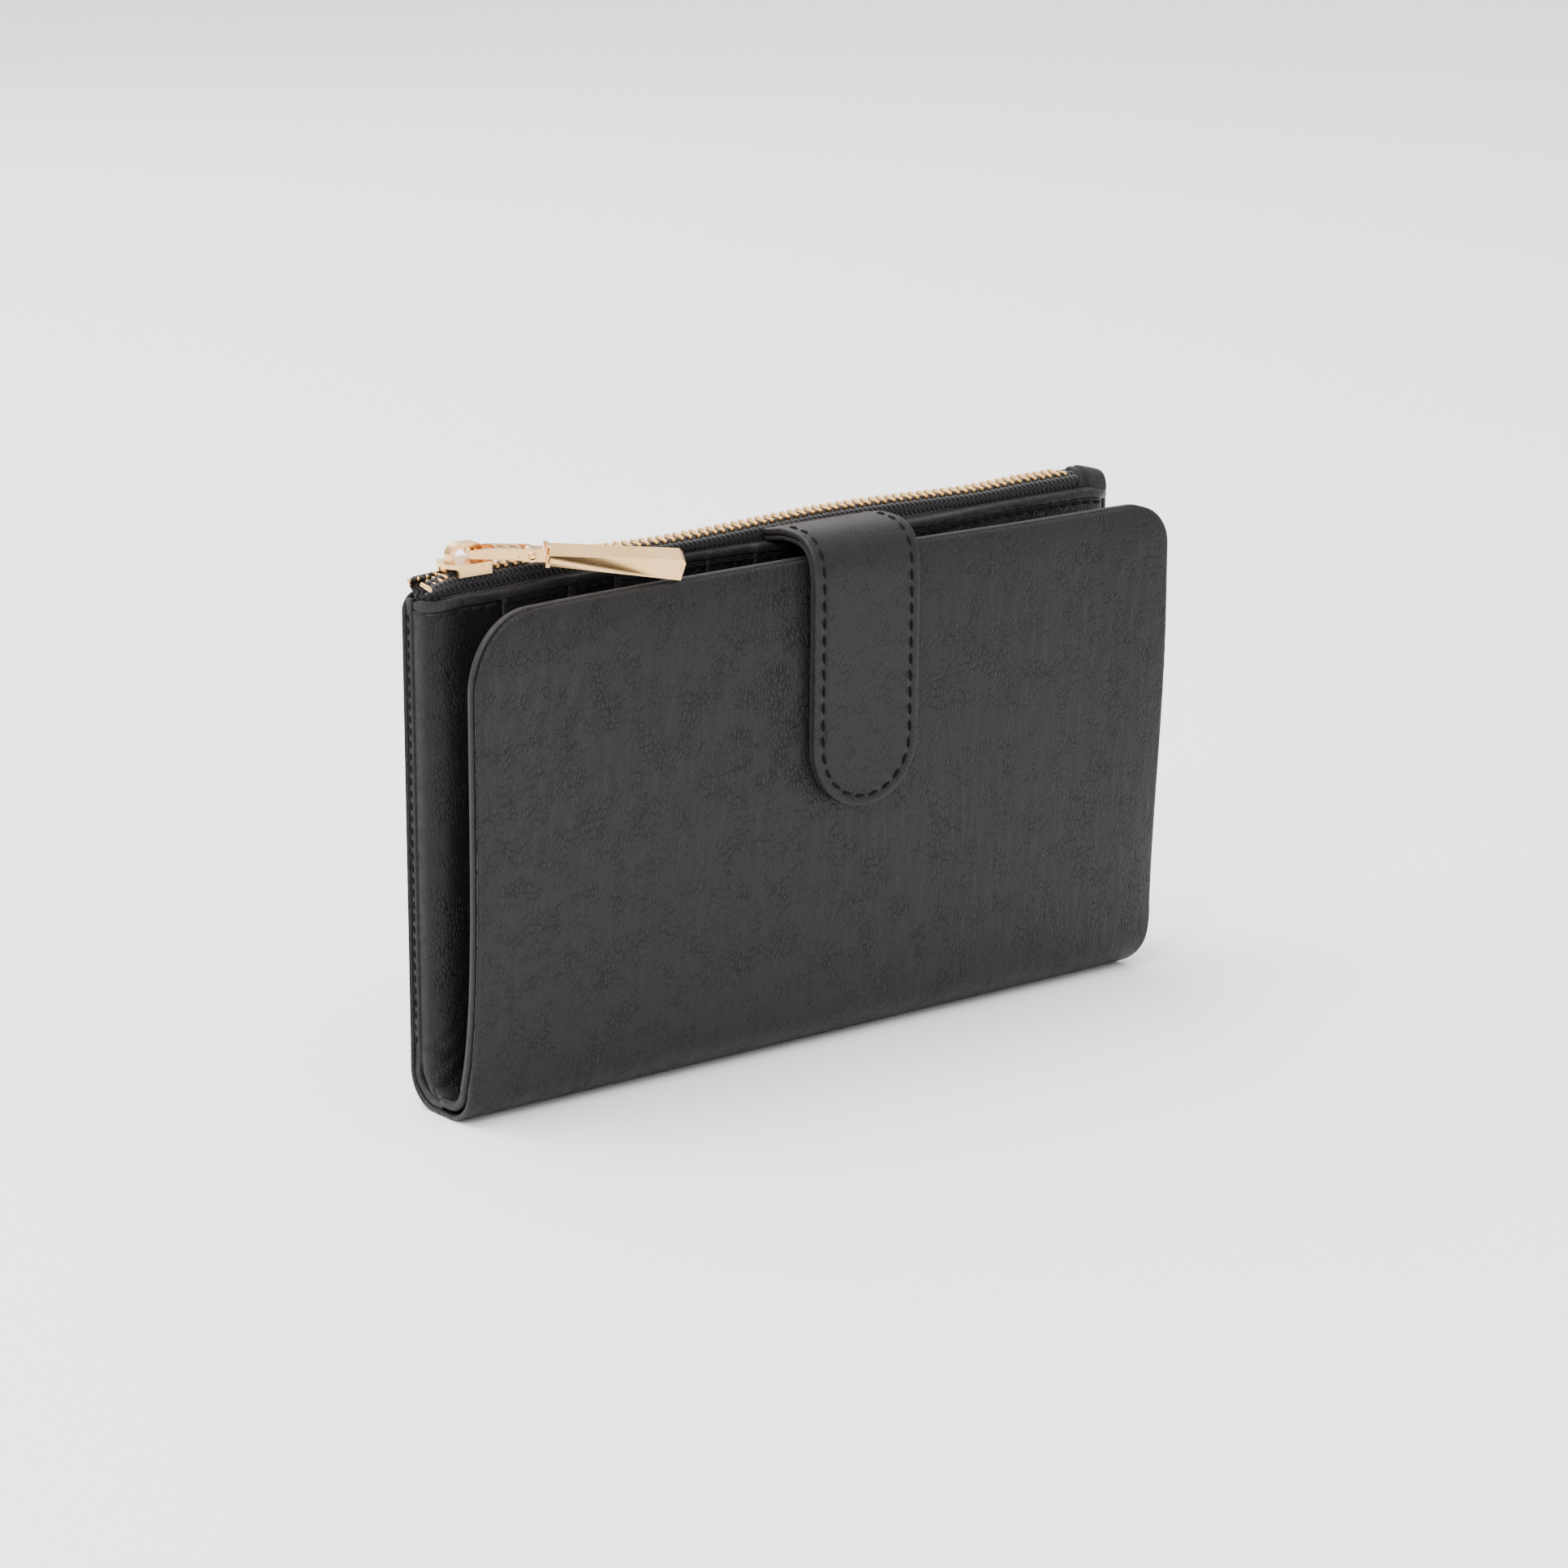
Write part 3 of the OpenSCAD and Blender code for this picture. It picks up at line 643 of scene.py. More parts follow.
def footOf(node):
    # arc length from the middle of the foot to a node's lower edge
    return foldLength(corners(node)[0][2])


coverSheet = {"step": 0.95 * mm, "round": 0.6 * mm}
flapCorners = {"corner": 16 * mm, "rightCorner": 9 * mm}

flapCoverSizes = nodeSheet("flap_cover", -1, softEdge=0.45 * mm, crown=0.95 * mm, rollReach=6 * mm,
                           ripples=flapRipple, **flapCorners, **coverSheet)
backCoverSizes = nodeSheet("back_cover", 1, corner=4 * mm, softEdge=0.3 * mm, crown=0.2 * mm,
                           rollReach=2 * mm, **coverSheet)
flapLiningSizes = nodeSheet("flap_lining", -1, step=1.3 * mm, turnedEdge=1.0 * mm, round=0.9 * mm,
                            **flapCorners)
spineLiningSizes = nodeSheet("flap_lining", 1, top=bendRadius + 3 * mm, corner=1 * mm, bow=flatFace,
                             half=corners("spine_lining")[1][0], depth=leather, thick=0.8 * mm)
flapBoardSizes = nodeSheet("flap_board", -1, start=footOf("flap_board"), half=coverHalf - 8 * mm,
                           top=flapTop - 7 * mm, step=4 * mm, **flapCorners)
slipPocketSizes = nodeSheet("flap_slip_pocket", -1, start=footOf("flap_slip_pocket"), corner=2 * mm,
                            step=2 * mm)
backBoardSizes = nodeSheet("back_board", 1, start=footOf("back_board"), step=4 * mm)

flapCover = foldedSheet("flapCover", -1, flapCoverSizes, coverLeather)
backCover = foldedSheet("backCover", 1, backCoverSizes, coverLeather)
flapLining = foldedSheet("flapLining", -1, flapLiningSizes, liningLeather)
backSpineLining = foldedSheet("backSpineLining", 1, spineLiningSizes, liningLeather)
flapBoard = foldedSheet("flapBoard", -1, flapBoardSizes, fibreBoard)
slipPocket = foldedSheet("slipPocket", -1, slipPocketSizes, liningLeather)
backBoard = foldedSheet("backBoard", 1, backBoardSizes, fibreBoard)

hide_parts("flap_cover", "cover_spine")
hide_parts("back_cover", "cover_spine")
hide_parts("flap_lining", "spine_lining")
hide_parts("spine_lining")
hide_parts("flap_board")
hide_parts("flap_slip_pocket")
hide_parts("back_board")

for piece, side, body in ((flapCover, -1, "flap"), (flapLining, -1, "flap"),
                          (backCover, 1, "pocket"), (backSpineLining, 1, "pocket")):
    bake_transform(piece)
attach(flapBoard, "flap")
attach(slipPocket, "flap")
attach(backBoard, "pocket")
print("cover and lining made")


# the zipped pocket's front

pocketFoot = wallLow[2]
slotLip = {"raise": 0.4 * mm, "width": 1.5 * mm, "gape": 0.7 * mm, "fade": 9 * mm}


def pocketSheet(name, low, high, look, material):
    # an upright sheet from low to high; its face is moved by pocketShift, and raised along its mouth
    step = look.get("step", 1.6 * mm)
    x, z = np.meshgrid(spaced(low[0], high[0], step), spaced(low[2], high[2], step), indexing="ij")
    edge = np.minimum.reduce([x - low[0], high[0] - x, z - low[2], high[2] - z])
    thick = high[1] - low[1]
    shift = look.get("shift", pocketShift)(x, z)
    mouth = x - low[0]
    lip = look.get("lip", 0) * np.exp(-(mouth / slotLip["width"]) ** 4)
    belly = np.sin(math.pi * (z - low[2]) / (high[2] - low[2]))
    gape = look.get("gape", 0) * belly * np.exp(-mouth / slotLip["fade"])
    sink = roundDrop(edge, 0.42 * thick)
    top = topWave(x) * nearTop(z)
    front = np.stack([x, low[1] + sink - lip - gape + shift, z + top], axis=-1)
    back = np.stack([x, high[1] - sink - gape + shift, z + top], axis=-1)
    uv = np.stack([x / mm, z / mm], axis=-1)
    return layerPiece(name, front, back, edge, material, uv)


wallFoot = {"from": 17 * mm, "meets": -2 * mm, "depth": 2.3 * mm, "wrinkle": 0.35 * mm, "rows": 33,
            "rowsAbove": 84}


def frontWallPiece():
    # upright above wallFoot["from"]; below it a Bezier curve drops and turns forward into the fold:
    # P = (1-t)^3 a + 3 (1-t)^2 t b + 3 (1-t) t^2 c + t^3 d, with small slanting wrinkles at both sides
    x = spaced(wallLow[0], wallHigh[0], 1.1 * mm)
    thick = wallHigh[1] - wallLow[1]
    rows, rowsAbove = wallFoot["rows"], wallFoot["rowsAbove"]
    curve = np.linspace(1, 0, rows + 1)[:-1]
    upright = np.linspace(wallFoot["from"], wallHigh[2], rowsAbove)
    x, row = np.meshgrid(x, np.arange(rows + rowsAbove), indexing="ij")
    low = row < rows
    t = np.where(low, np.interp(row, np.arange(rows), curve), 0)
    z = np.where(low, wallFoot["from"], np.interp(row - rows, np.arange(rowsAbove), upright))
    yTop = wallLow[1] + pocketShift(x, z)
    inward = np.clip(yTop / (9 * mm), 0, 1)
    a, d = (yTop, z), (wallFoot["meets"], wallFoot["depth"])
    b = (yTop + 0.2 * mm, z - 9 * mm)
    c = (d[0] + (3 + 5.5 * inward) * mm, d[1] + 0 * z)
    y, zz = [(1 - t) ** 3 * a[k] + 3 * (1 - t) ** 2 * t * b[k] + 3 * (1 - t) * t ** 2 * c[k] + t ** 3 * d[k]
             for k in (0, 1)]
    y, zz = np.where(low, y, yTop), np.where(low, zz, z)
    dy, dz = np.gradient(y, axis=1), np.gradient(zz, axis=1)
    size = np.hypot(dy, dz)
    ny, nz = -dz / size, dy / size                      # towards the flap and the fold's inside
    side = pocketHalf - np.abs(x)
    x = x - drawnIn * (1 - smooth(zz / drawnInTop)) * smooth(x / pocketHalf) ** 4
    crumple = wallFoot["wrinkle"] * np.exp(-side / (7 * mm)) * hump(zz, 11 * mm, 8 * mm)
    crumple = crumple * np.sin((zz - 0.8 * side) / (0.75 * mm) + 1.3 * np.sin(side / (2 * mm)))
    edge = np.minimum(side, wallHigh[2] - zz)
    sink = roundDrop(edge, 0.42 * thick)
    top = topWave(x) * nearTop(zz)
    face, behind = crumple - sink, -thick + sink
    front, back = [np.stack([x, y + out * ny, zz + out * nz + top], axis=-1) for out in (face, behind)]
    piece = layerPiece("frontWall", front, back, edge, shadedWallLeather)
    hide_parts("pocket_front_wall")
    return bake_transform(piece)


frontWallPiece()

for number, (name, (low, high)) in enumerate(zip(slotNames, slotBoxes)):
    high = high - np.array([0.8 * mm * number, 0, 0])
    layer = pocketSheet("cardSlot%d" % (number + 1), low, high,
                        {"lip": slotLip["raise"], "gape": slotLip["gape"]}, shadedWallLeather)
    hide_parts(name)
    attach(layer, "pocket")


def frontFace(x):
    # y of the outermost layer at x, before pocketShift: one layer further out past each mouth
    y = wallLow[1] + 0 * x
    for low, high in slotBoxes:
        y = y - (high[1] - low[1]) * smooth((x - low[0] + 0.3 * mm) / (0.9 * mm))
    return y


liningSizes = {
    "frontPocketLining": ("pocket_front_lining", 4 * mm, pocketShift),
    "rearPocketLining": ("pocket_rear_lining", 3 * mm, flatFace),
}
for name, (node, inset, shift) in liningSizes.items():
    low, high = corners(node)
    trim = np.array([inset, 0, 0])
    piece = pocketSheet(name, low + trim, high - trim, {"shift": shift, "step": 3 * mm}, liningCloth)
    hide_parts(node)
    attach(piece, "pocket")

rootLow, rootHigh = corners("tab_root")
tabRoot = pocketSheet("tabRoot", rootLow, rootHigh, {}, tabLeather)
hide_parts("tab_root")
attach(tabRoot, "pocket")

binding = {"proud": 0.45 * mm, "height": 2.4 * mm, "points": 20, "mouth": 0.35 * mm}


def bindingPiece():
    # a rounded ridge carried along the wall's top: a squarish section between its front and back faces
    x = spaced(-pocketHalf, pocketHalf, 0.7 * mm)
    t = np.linspace(0, tau, binding["points"], endpoint=False)
    front = frontFace(x) - binding["proud"] + pocketShift(x, pocketTop)
    for low, _ in slotBoxes:
        front = front - binding["mouth"] * hump(x, low[0] + 0.9 * mm, 1.0 * mm)
    back = wallHigh[1] + pocketShift(x, pocketTop)
    c, w = (front + back) / 2, (back - front) / 2
    across, upwards = squarish(t, 0.6)
    middle = bindingHigh[2] - binding["height"] / 2 + topWave(x)
    ends = 1 - 0.5 * roundDrop(pocketHalf - np.abs(x), 0.8 * mm)[:, None] / (0.8 * mm)
    y = c[:, None] + w[:, None] * across * ends
    z = middle[:, None] + binding["height"] / 2 * upwards * ends
    return sweptPiece("frontBinding", ringsAt(x, y, z), shadedWallLeather)


frontBinding = bindingPiece()
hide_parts("front_binding")
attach(frontBinding, "pocket")

sideSeam = {"width": 1.7 * mm, "thick": 0.2 * mm, "inset": 0.5 * mm, "foremost": 4 * mm, "points": 16,
            "ripple": 0.12 * mm}


def seamFront(side):
    # y of the side seam's front edge
    y = frontFace(side * np.array([pocketHalf]))[0] + cheek["pinch"] - sideSeam["thick"]
    return max(y, sideSeam["foremost"])


def sideSeamPiece(name, side, node):
    # a turned strip wrapped round the side: its (x, y) section is a flat loop carried up the side
    s = spaced(0, foldLength(pocketTop), 1.2 * mm)
    yFront, yBack = seamFront(side), backLow[1] + 0.1 * mm
    outX = coverHalf - sideSeam["inset"]
    inX = outX - sideSeam["width"]
    across, along = squarish(np.linspace(0, tau, sideSeam["points"], endpoint=False), 0.5)
    sx = (outX + inX) / 2 + (outX - inX) / 2 * across
    sy = (yFront + yBack) / 2 + (yBack - yFront) / 2 * along
    y, z = foldPoint(s[:, None], outerFace - sy[None, :])
    ripple = sideSeam["ripple"] * np.sin(s / (1.7 * mm)) * hump(s, foldLength(pocketFoot), 14 * mm)
    atRight = drawnIn * (1 - smooth(s / foldLength(drawnInTop))) if side > 0 else 0 * s
    x = side * (sx[None, :] + (ripple - atRight)[:, None])
    z = z + topWave(side * coverHalf) * nearTop(z)
    piece = sweptPiece(name, np.stack([x, y, z], axis=-1), shadedWallLeather)
    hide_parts(node)
    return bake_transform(piece)


sideSeamPiece("leftSideSeam", -1, "left_gusset")
sideSeamPiece("rightSideSeam", 1, "right_gusset")

gussetLow, gussetHigh = corners("bottom_gusset")


def bottomGussetPiece():
    # a gathered trough between the two walls: z = low + h (1 - sin(pi t)) with small pleats
    x = spaced(gussetLow[0], gussetHigh[0], 1.2 * mm)
    t = np.linspace(0, 1, 14)
    x, t = np.meshgrid(x, t, indexing="ij")
    y = gussetLow[1] + t * (gussetHigh[1] - gussetLow[1])
    pleat = 0.12 * mm * np.sin(x / (0.8 * mm))
    z = gussetLow[2] + 0.5 * mm + (1 - np.sin(math.pi * t)) * 2.6 * mm + pleat
    upper = np.stack([x, y, z + 0.4 * mm], axis=-1)
    lower = np.stack([x, y, z], axis=-1)
    edge = np.full(x.shape, 5 * mm)
    piece = layerPiece("bottomGusset", upper, lower, edge, liningCloth,
                       np.stack([x / mm, y / mm], axis=-1))
    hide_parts("bottom_gusset")
    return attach(piece, "pocket")


bottomGussetPiece()
print("pocket made")


# stitches

def stitchTemplate(length, radius, rings=5, sides=6):
    # a bent thread: x runs along, and its middle rises as r (1 - u^4) over two ends sunk in the leather
    u = np.linspace(-1, 1, rings)
    t = np.linspace(0, tau, sides, endpoint=False)
    lift = radius * (1.5 * (1 - u ** 4) - 0.9)
    thin = radius * (1 - 0.25 * u ** 4)
    x = np.repeat((u * length / 2)[:, None], sides, axis=1)
    y = thin[:, None] * np.cos(t)
    z = lift[:, None] + thin[:, None] * np.sin(t)
    return np.stack([x, y, z], axis=-1).reshape(-1, 3), tubeFaces(rings, sides)


thread = {"radius": 0.29 * mm, "pitch": 3.2 * mm, "share": 0.76, "askew": 0.1, "endInset": 4 * mm}


def unit(vectors):
    return vectors / np.linalg.norm(vectors, axis=1)[:, None]


def stitchRow(name, path, outward, body, pitch=thread["pitch"], radius=thread["radius"]):
    # stitches along a path of points, evenly spaced by length, each one turned to the path and outward,
    # and a little askew, as a machine lays them
    run = np.concatenate([[0], np.cumsum(np.linalg.norm(np.diff(path, axis=0), axis=1))])
    count = int(run[-1] / pitch)
    at = (np.arange(count) + 0.5) * run[-1] / count

    def along(values, where):
        return np.stack([np.interp(where, run, values[:, k]) for k in range(3)], axis=-1)

    ahead, behind = along(path, at + 0.45 * pitch), along(path, at - 0.45 * pitch)
    tangent = unit(ahead - behind)
    out = along(outward, at)
    out = unit(out - (out * tangent).sum(axis=1)[:, None] * tangent)
    tangent = unit(tangent + thread["askew"] * np.cross(out, tangent))
    axes = np.stack([tangent, np.cross(out, tangent), out], axis=1)
    points, faces = stitchTemplate(thread["share"] * pitch, radius)
    places = (ahead + behind) / 2
    piece = repeatedPiece(name, points, faces, places, axes, seamThread)
    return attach(piece, body)


def facing(path, direction):
    return np.repeat(np.array([direction], float), len(path), axis=0)


bindingStitchZ = bindingLow[2] - 0.9 * mm
x = np.linspace(-pocketHalf + thread["endInset"], pocketHalf - thread["endInset"], 700)
y = frontFace(x) + pocketShift(x, bindingStitchZ) - slotLip["raise"] * 0.3
path = np.stack([x, y, bindingStitchZ + topWave(x)], axis=-1)
stitchRow("bindingStitches", path, facing(path, (0, -1, 0)), "pocket")

for name, side in (("leftSideStitches", -1), ("rightSideStitches", 1)):
    z = np.linspace(1.6 * bendRadius, pocketTop - thread["endInset"], 60)
    x = np.full(60, side * (coverHalf - sideSeam["inset"]))
    y = np.full(60, (seamFront(side) + backLow[1]) / 2)
    path = np.stack([x, y, z], axis=-1)
    stitchRow(name, path, facing(path, (side, 0, 0)), "pocket", pitch=2.6 * mm, radius=0.17 * mm)
print("pocket stitches made")


# zip

sliderMiddle = (sliderLow[0] + sliderHigh[0]) / 2
zipWave = {"sway": 0.5 * mm, "lift": 0.4 * mm, "straight": 70 * mm}
openFrom = sliderMiddle - 3 * mm                  # the two tapes part to the left of this


def chainWave(x, reach, turn):
    # the chain's slow snaking sin(x/reach + turn), none where the slider rests at either end
    ends = smooth((x - sliderMiddle - 8 * mm) / (25 * mm)) * smooth((zipWave["straight"] - x) / (20 * mm))
    return np.sin(x / reach + turn) * ends


def chainSway(x):
    return zipWave["sway"] * chainWave(x, 17 * mm, 0.4)


def chainLift(x):
    return zipWave["lift"] * chainWave(x, 14 * mm, 0.5)


def chainSplay(x):
    # how far each row stands off the middle past the slider's mouth
    return 1.7 * mm * smooth((openFrom - x) / (9 * mm))


# level: the woven face, below the chain's middle; cord: the ridge that the teeth grip; down: how the
# tape draws in below its shoulder, as distances from the zip's middle and below its level
tape = {"thick": 0.5 * mm, "level": -0.42 * mm, "wide": 3.05 * mm, "shoulder": 0.5 * mm,
        "cordHigh": 0.75 * mm, "cordHalf": 0.7 * mm, "cordAt": 0.95 * mm, "clear": 0.25 * mm,
        "parted": 1.1 * mm, "droop": 0.8 * mm, "behindWall": 2 * mm,
        "down": [(2.98, 1.1), (2.75, 1.7), (2.45, 2.3), (2.2, 2.9), (2.05, 3.6), (2.05, 6.0), (2.05, 9.0),
                 (2.05, 12.7)]}


def tapeSection():
    # the tape's outline as (y, z) from the chain's middle, and the length round its outer face: a
    # half-round cord (sin) under the teeth, round the shoulder, then down, and back a thickness inside
    thick, level, shoulder = tape["thick"], tape["level"], tape["shoulder"]
    cord = np.linspace(0, math.pi, 8)
    a = np.linspace(0, math.pi / 2, 7)
    down = np.array(tape["down"]) * mm
    outY = np.concatenate([tape["cordAt"] - tape["cordHalf"] * np.cos(cord),
                           tape["wide"] - shoulder + shoulder * np.sin(a), down[:, 0]])
    outZ = np.concatenate([level + tape["cordHigh"] * np.sin(cord),
                           level - shoulder + shoulder * np.cos(a), level - down[:, 1]])
    runs = np.concatenate([[0], np.cumsum(np.hypot(np.diff(outY), np.diff(outZ)))])
    tangent = unit(np.stack([np.gradient(outY, runs), np.gradient(outZ, runs)], axis=-1))
    inY, inZ = outY + thick * tangent[:, 1], outZ - thick * tangent[:, 0]
    return (np.concatenate([outY, inY[::-1]]), np.concatenate([outZ, inZ[::-1]]),
            np.concatenate([runs, runs[::-1]]))


def tapePiece(name, side, node):
    # tapeSection carried along the chain; its upper part follows the chain and parts past the slider,
    # its lower part stays behind the pocket's front
    x = spaced(-pocketHalf + 1 * mm, endTabLow[0] + 1.5 * mm, 0.9 * mm)
    sectionY, sectionZ, runV = tapeSection()
    upper = smooth((sectionZ + 5 * mm) / (4 * mm))
    y = sectionY[None, :] + chainSplay(x)[:, None] * upper[None, :]
    parted = smooth((openFrom + 1.5 * mm - x) / (3 * mm))[:, None] * tape["parted"]
    y = np.maximum(y, tape["clear"] + parted)
    y = zipMiddle + side * y + chainSway(x)[:, None] * upper
    wallShift = pocketShift(x[:, None], chainMiddle + sectionZ[None, :])
    behindWall = frontFace(x)[:, None] + wallShift + tape["behindWall"]
    y = y + np.maximum(behindWall - y, 0) * (1 - upper)
    droop = tape["droop"] * smooth((openFrom - x) / (10 * mm))[:, None] * upper
    z = chainMiddle + sectionZ[None, :] + chainLift(x)[:, None] * upper - droop
    along = np.repeat(x[:, None], len(runV), axis=1)
    uv = np.stack([along, np.repeat(runV[None, :], len(x), axis=0)], axis=-1) / mm
    piece = sweptPiece(name, ringsAt(x, y, z), zipTapeCloth, uv)
    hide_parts(node)
    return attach(piece, "pocket")


tapePiece("frontZipTape", -1, "front_zip_tape")
tapePiece("rearZipTape", 1, "rear_zip_tape")

# tooth: (distance from the middle, half width, half height) from the biting head to the clamped heel
teethRow = {"pitch": 2.2 * mm, "loose": 4, "loosePitch": 1.75 * mm, "raised": 0.12 * mm,
            "turn": math.radians(9.0), "tilt": math.radians(7.0), "aside": 0.55 * mm, "droop": 0.3 * mm,
            "tooth": [(-0.45, 0.12, 0.16), (-0.35, 0.24, 0.34), (-0.1, 0.3, 0.42), (0.4, 0.26, 0.4),
                      (0.8, 0.4, 0.5), (2.0, 0.45, 0.54), (2.3, 0.42, 0.48), (2.4, 0.2, 0.2)]}


def toothTemplate(sides=8):
    # squarish sections carried from the tooth's head to its heel
    stations = np.array(teethRow["tooth"]) * mm
    cx, cz = squarish(np.linspace(0, tau, sides, endpoint=False) + tau / (2 * sides), 0.55)
    x = stations[:, 1][:, None] * cx
    z = stations[:, 2][:, None] * cz + teethRow["raised"]
    y = np.repeat(stations[:, 0][:, None], sides, axis=1)
    return np.stack([x, y, z], axis=-1).reshape(-1, 3), tubeFaces(len(stations), sides)


def teethPiece(name, side, node):
    # one row of teeth at an even pitch, and a few loose ones that turn out and droop past the slider
    first = openFrom + 1 * mm + (teethRow["pitch"] / 2 if side > 0 else 0)
    count = int((endTabLow[0] - 0.5 * mm - first) / teethRow["pitch"]) + 1
    x = first + np.arange(count) * teethRow["pitch"]
    n = np.arange(1, teethRow["loose"] + 1)
    looseX = sliderLow[0] - 0.3 * mm - (n - 0.4) * teethRow["loosePitch"]
    x = np.concatenate([looseX[::-1], x])
    far = np.concatenate([n[::-1], np.zeros(count)])
    turn = teethRow["turn"] * far + 0.05 * np.sin(7.1 * x / mm)
    tilt = teethRow["tilt"] * far
    y = zipMiddle + side * (teethRow["aside"] * far) + chainSway(x)
    z = chainMiddle + chainLift(x) - teethRow["droop"] * far
    places = np.stack([x, y, z], axis=-1)
    along = np.stack([np.cos(turn), -side * np.sin(turn), 0 * x], axis=-1)
    across = np.stack([np.sin(turn), side * np.cos(turn) * np.cos(tilt), -np.sin(tilt)], axis=-1)
    up = np.cross(along, across) * side
    axes = np.stack([along, across, up], axis=1)
    points, faces = toothTemplate()
    piece = repeatedPiece(name, points, faces, places, axes, teethGold)
    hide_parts(node)
    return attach(piece, "pocket")


teethPiece("frontZipTeeth", -1, "front_zip_teeth")
teethPiece("rearZipTeeth", 1, "rear_zip_teeth")


endTab = {"from": 1.6 * mm, "short": 1.4 * mm, "slope": 1.9 * mm, "halfWidth": 2.9 * mm, "step": 0.3 * mm,
          "stepAt": 2.6 * mm, "stepPoint": 1.1 * mm, "deep": 3 * mm}


def endTabPiece():
    # a folded leather cap over the tape's end: a rounded wedge section, with a V-shaped step in its top
    x = spaced(endTabLow[0] + endTab["from"], endTabHigh[0] - endTab["short"], 0.4 * mm, rim=1.4 * mm)
    cy, cz = squarish(np.linspace(0, tau, 40, endpoint=False), 0.7)
    high = endTabHigh[2] + 0.1 * mm - endTab["slope"] * ((x - x[0]) / (x[-1] - x[0])) ** 1.5
    low = endTabLow[2] - endTab["deep"]
    middle, tall = ((low + high) / 2)[:, None], ((high - low) / 2)[:, None]
    lean = 1 - 0.2 * np.maximum(cz, 0)
    swell = 1 - roundDrop(np.minimum(x - x[0], x[-1] - x), 0.7 * mm)[:, None] / (3.5 * mm)
    notch = x[0] + endTab["stepAt"] - endTab["stepPoint"] * (1 - np.abs(cy))
    step = endTab["step"] * smooth((x[:, None] - notch[None, :]) / (0.5 * mm))
    seam = -endTab["step"] * hump(x[:, None], notch[None, :], 0.3 * mm)
    y = zipMiddle + (endTab["halfWidth"] * lean * cy)[None, :] * swell + (step + seam) * cy[None, :]
    z = middle + tall * cz[None, :] * swell + (step + seam) * np.maximum(cz, 0)[None, :]
    piece = sweptPiece("zipEndTab", ringsAt(x, y, z), shadedWallLeather)
    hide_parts("zip_end_tab")
    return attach(piece, "pocket")


endTabPiece()
print("zip made")


# slider and puller: the CAD shapes with broken edges

def eased(name, node, body, width):
    # a copy of the CAD mesh, merged, with its sharp edges rounded to a width
    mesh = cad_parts[node].data.copy()
    work = bmesh.new()
    work.from_mesh(mesh)
    bmesh.ops.remove_doubles(work, verts=work.verts, dist=2e-6)
    bmesh.ops.dissolve_limit(work, angle_limit=math.radians(1.5), verts=work.verts, edges=work.edges)
    work.to_mesh(mesh)
    work.free()
    mesh.materials.clear()
    mesh.materials.append(pullerGold)
    mesh.polygons.foreach_set("use_smooth", np.ones(len(mesh.polygons), bool))
    piece = bpy.data.objects.new(name, mesh)
    bpy.context.collection.objects.link(piece)
    ease = piece.modifiers.new("ease", "BEVEL")
    ease.width = width
    ease.segments = 2
    ease.limit_method = "ANGLE"
    ease.angle_limit = math.radians(28)
    level = piece.modifiers.new("level", "WEIGHTED_NORMAL")
    level.weight = 100
    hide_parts(node)
    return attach(piece, body)


eased("slider", "zip_slider", "slider", 0.22 * mm)
eased("pullerLink", "puller_link", "puller_link", 0.14 * mm)
eased("pullerPin", "puller_pin", "puller_link", 0.12 * mm)
eased("pullerBar", "puller_bar", "puller_bar", 0.22 * mm)
print("slider and puller made")


# closing tab

tabLayers = {"lining": 1.25 * mm, "total": 2.8 * mm}
tabMiddle = (strapLow[0] + strapHigh[0]) / 2
tabHalf = (strapHigh[0] - strapLow[0]) / 2
tabEnd = strapLow[2]
tabShape = {"crownRise": 1.0 * mm, "row": 2.3 * mm, "groove": 0.18 * mm, "round": 0.6 * mm,
            "inner": 12.3 * mm, "arch": 8.6 * mm, "archDrop": 10 * mm, "square": 0.55, "settle": 0.5 * mm}


def tabPath(away):
    # (y, z) points of the tab's inner face moved out by a distance: a slow rise from the zip over the
    # binding, a quarter of a squared ellipse (sin^k, cos^k) over the flap's top, then down its face
    startY, frontY = strapHigh[1], -tabShape["inner"]
    across, tall = tabShape["arch"], tabShape["archDrop"]
    startZ = strapHigh[2] - tabLayers["total"] + 0.2 * mm
    y0 = np.linspace(startY, frontY + across, 20)
    z0 = startZ + tabShape["crownRise"] * smooth((startY - y0) / (startY - y0[-1]))
    a = np.linspace(0, math.pi / 2, 40)[1:]
    y1 = frontY + across - across * np.sin(a) ** tabShape["square"]
    z1 = z0[-1] - tall + tall * np.cos(a) ** tabShape["square"]
    z2 = np.linspace(z1[-1], tabEnd, 60)[1:]
    y2 = frontY + tabShape["settle"] * smooth((z1[-1] - z2) / (35 * mm))
    y, z = np.concatenate([y0, y1, y2]), np.concatenate([z0, z1, z2])
    run = np.concatenate([[0], np.cumsum(np.hypot(np.diff(y), np.diff(z)))])
    ty, tz = np.gradient(y, run), np.gradient(z, run)
    scale = np.hypot(ty, tz)
    ny, nz = tz / scale, -ty / scale                    # outward: up on the crown, forward on the face
    return run, y + away * ny, z + away * nz, ny, nz


tabRun = tabPath(0)[0][-1]


def tabSurface(x, v, away):
    # the point of the tab at x across and v along, away from its inner face
    run, y, z, ny, nz = tabPath(0)
    py, pz = np.interp(v, run, y), np.interp(v, run, z)
    oy, oz = np.interp(v, run, ny), np.interp(v, run, nz)
    size = np.hypot(oy, oz)
    return np.stack([x, py + away * oy / size, pz + away * oz / size], axis=-1)


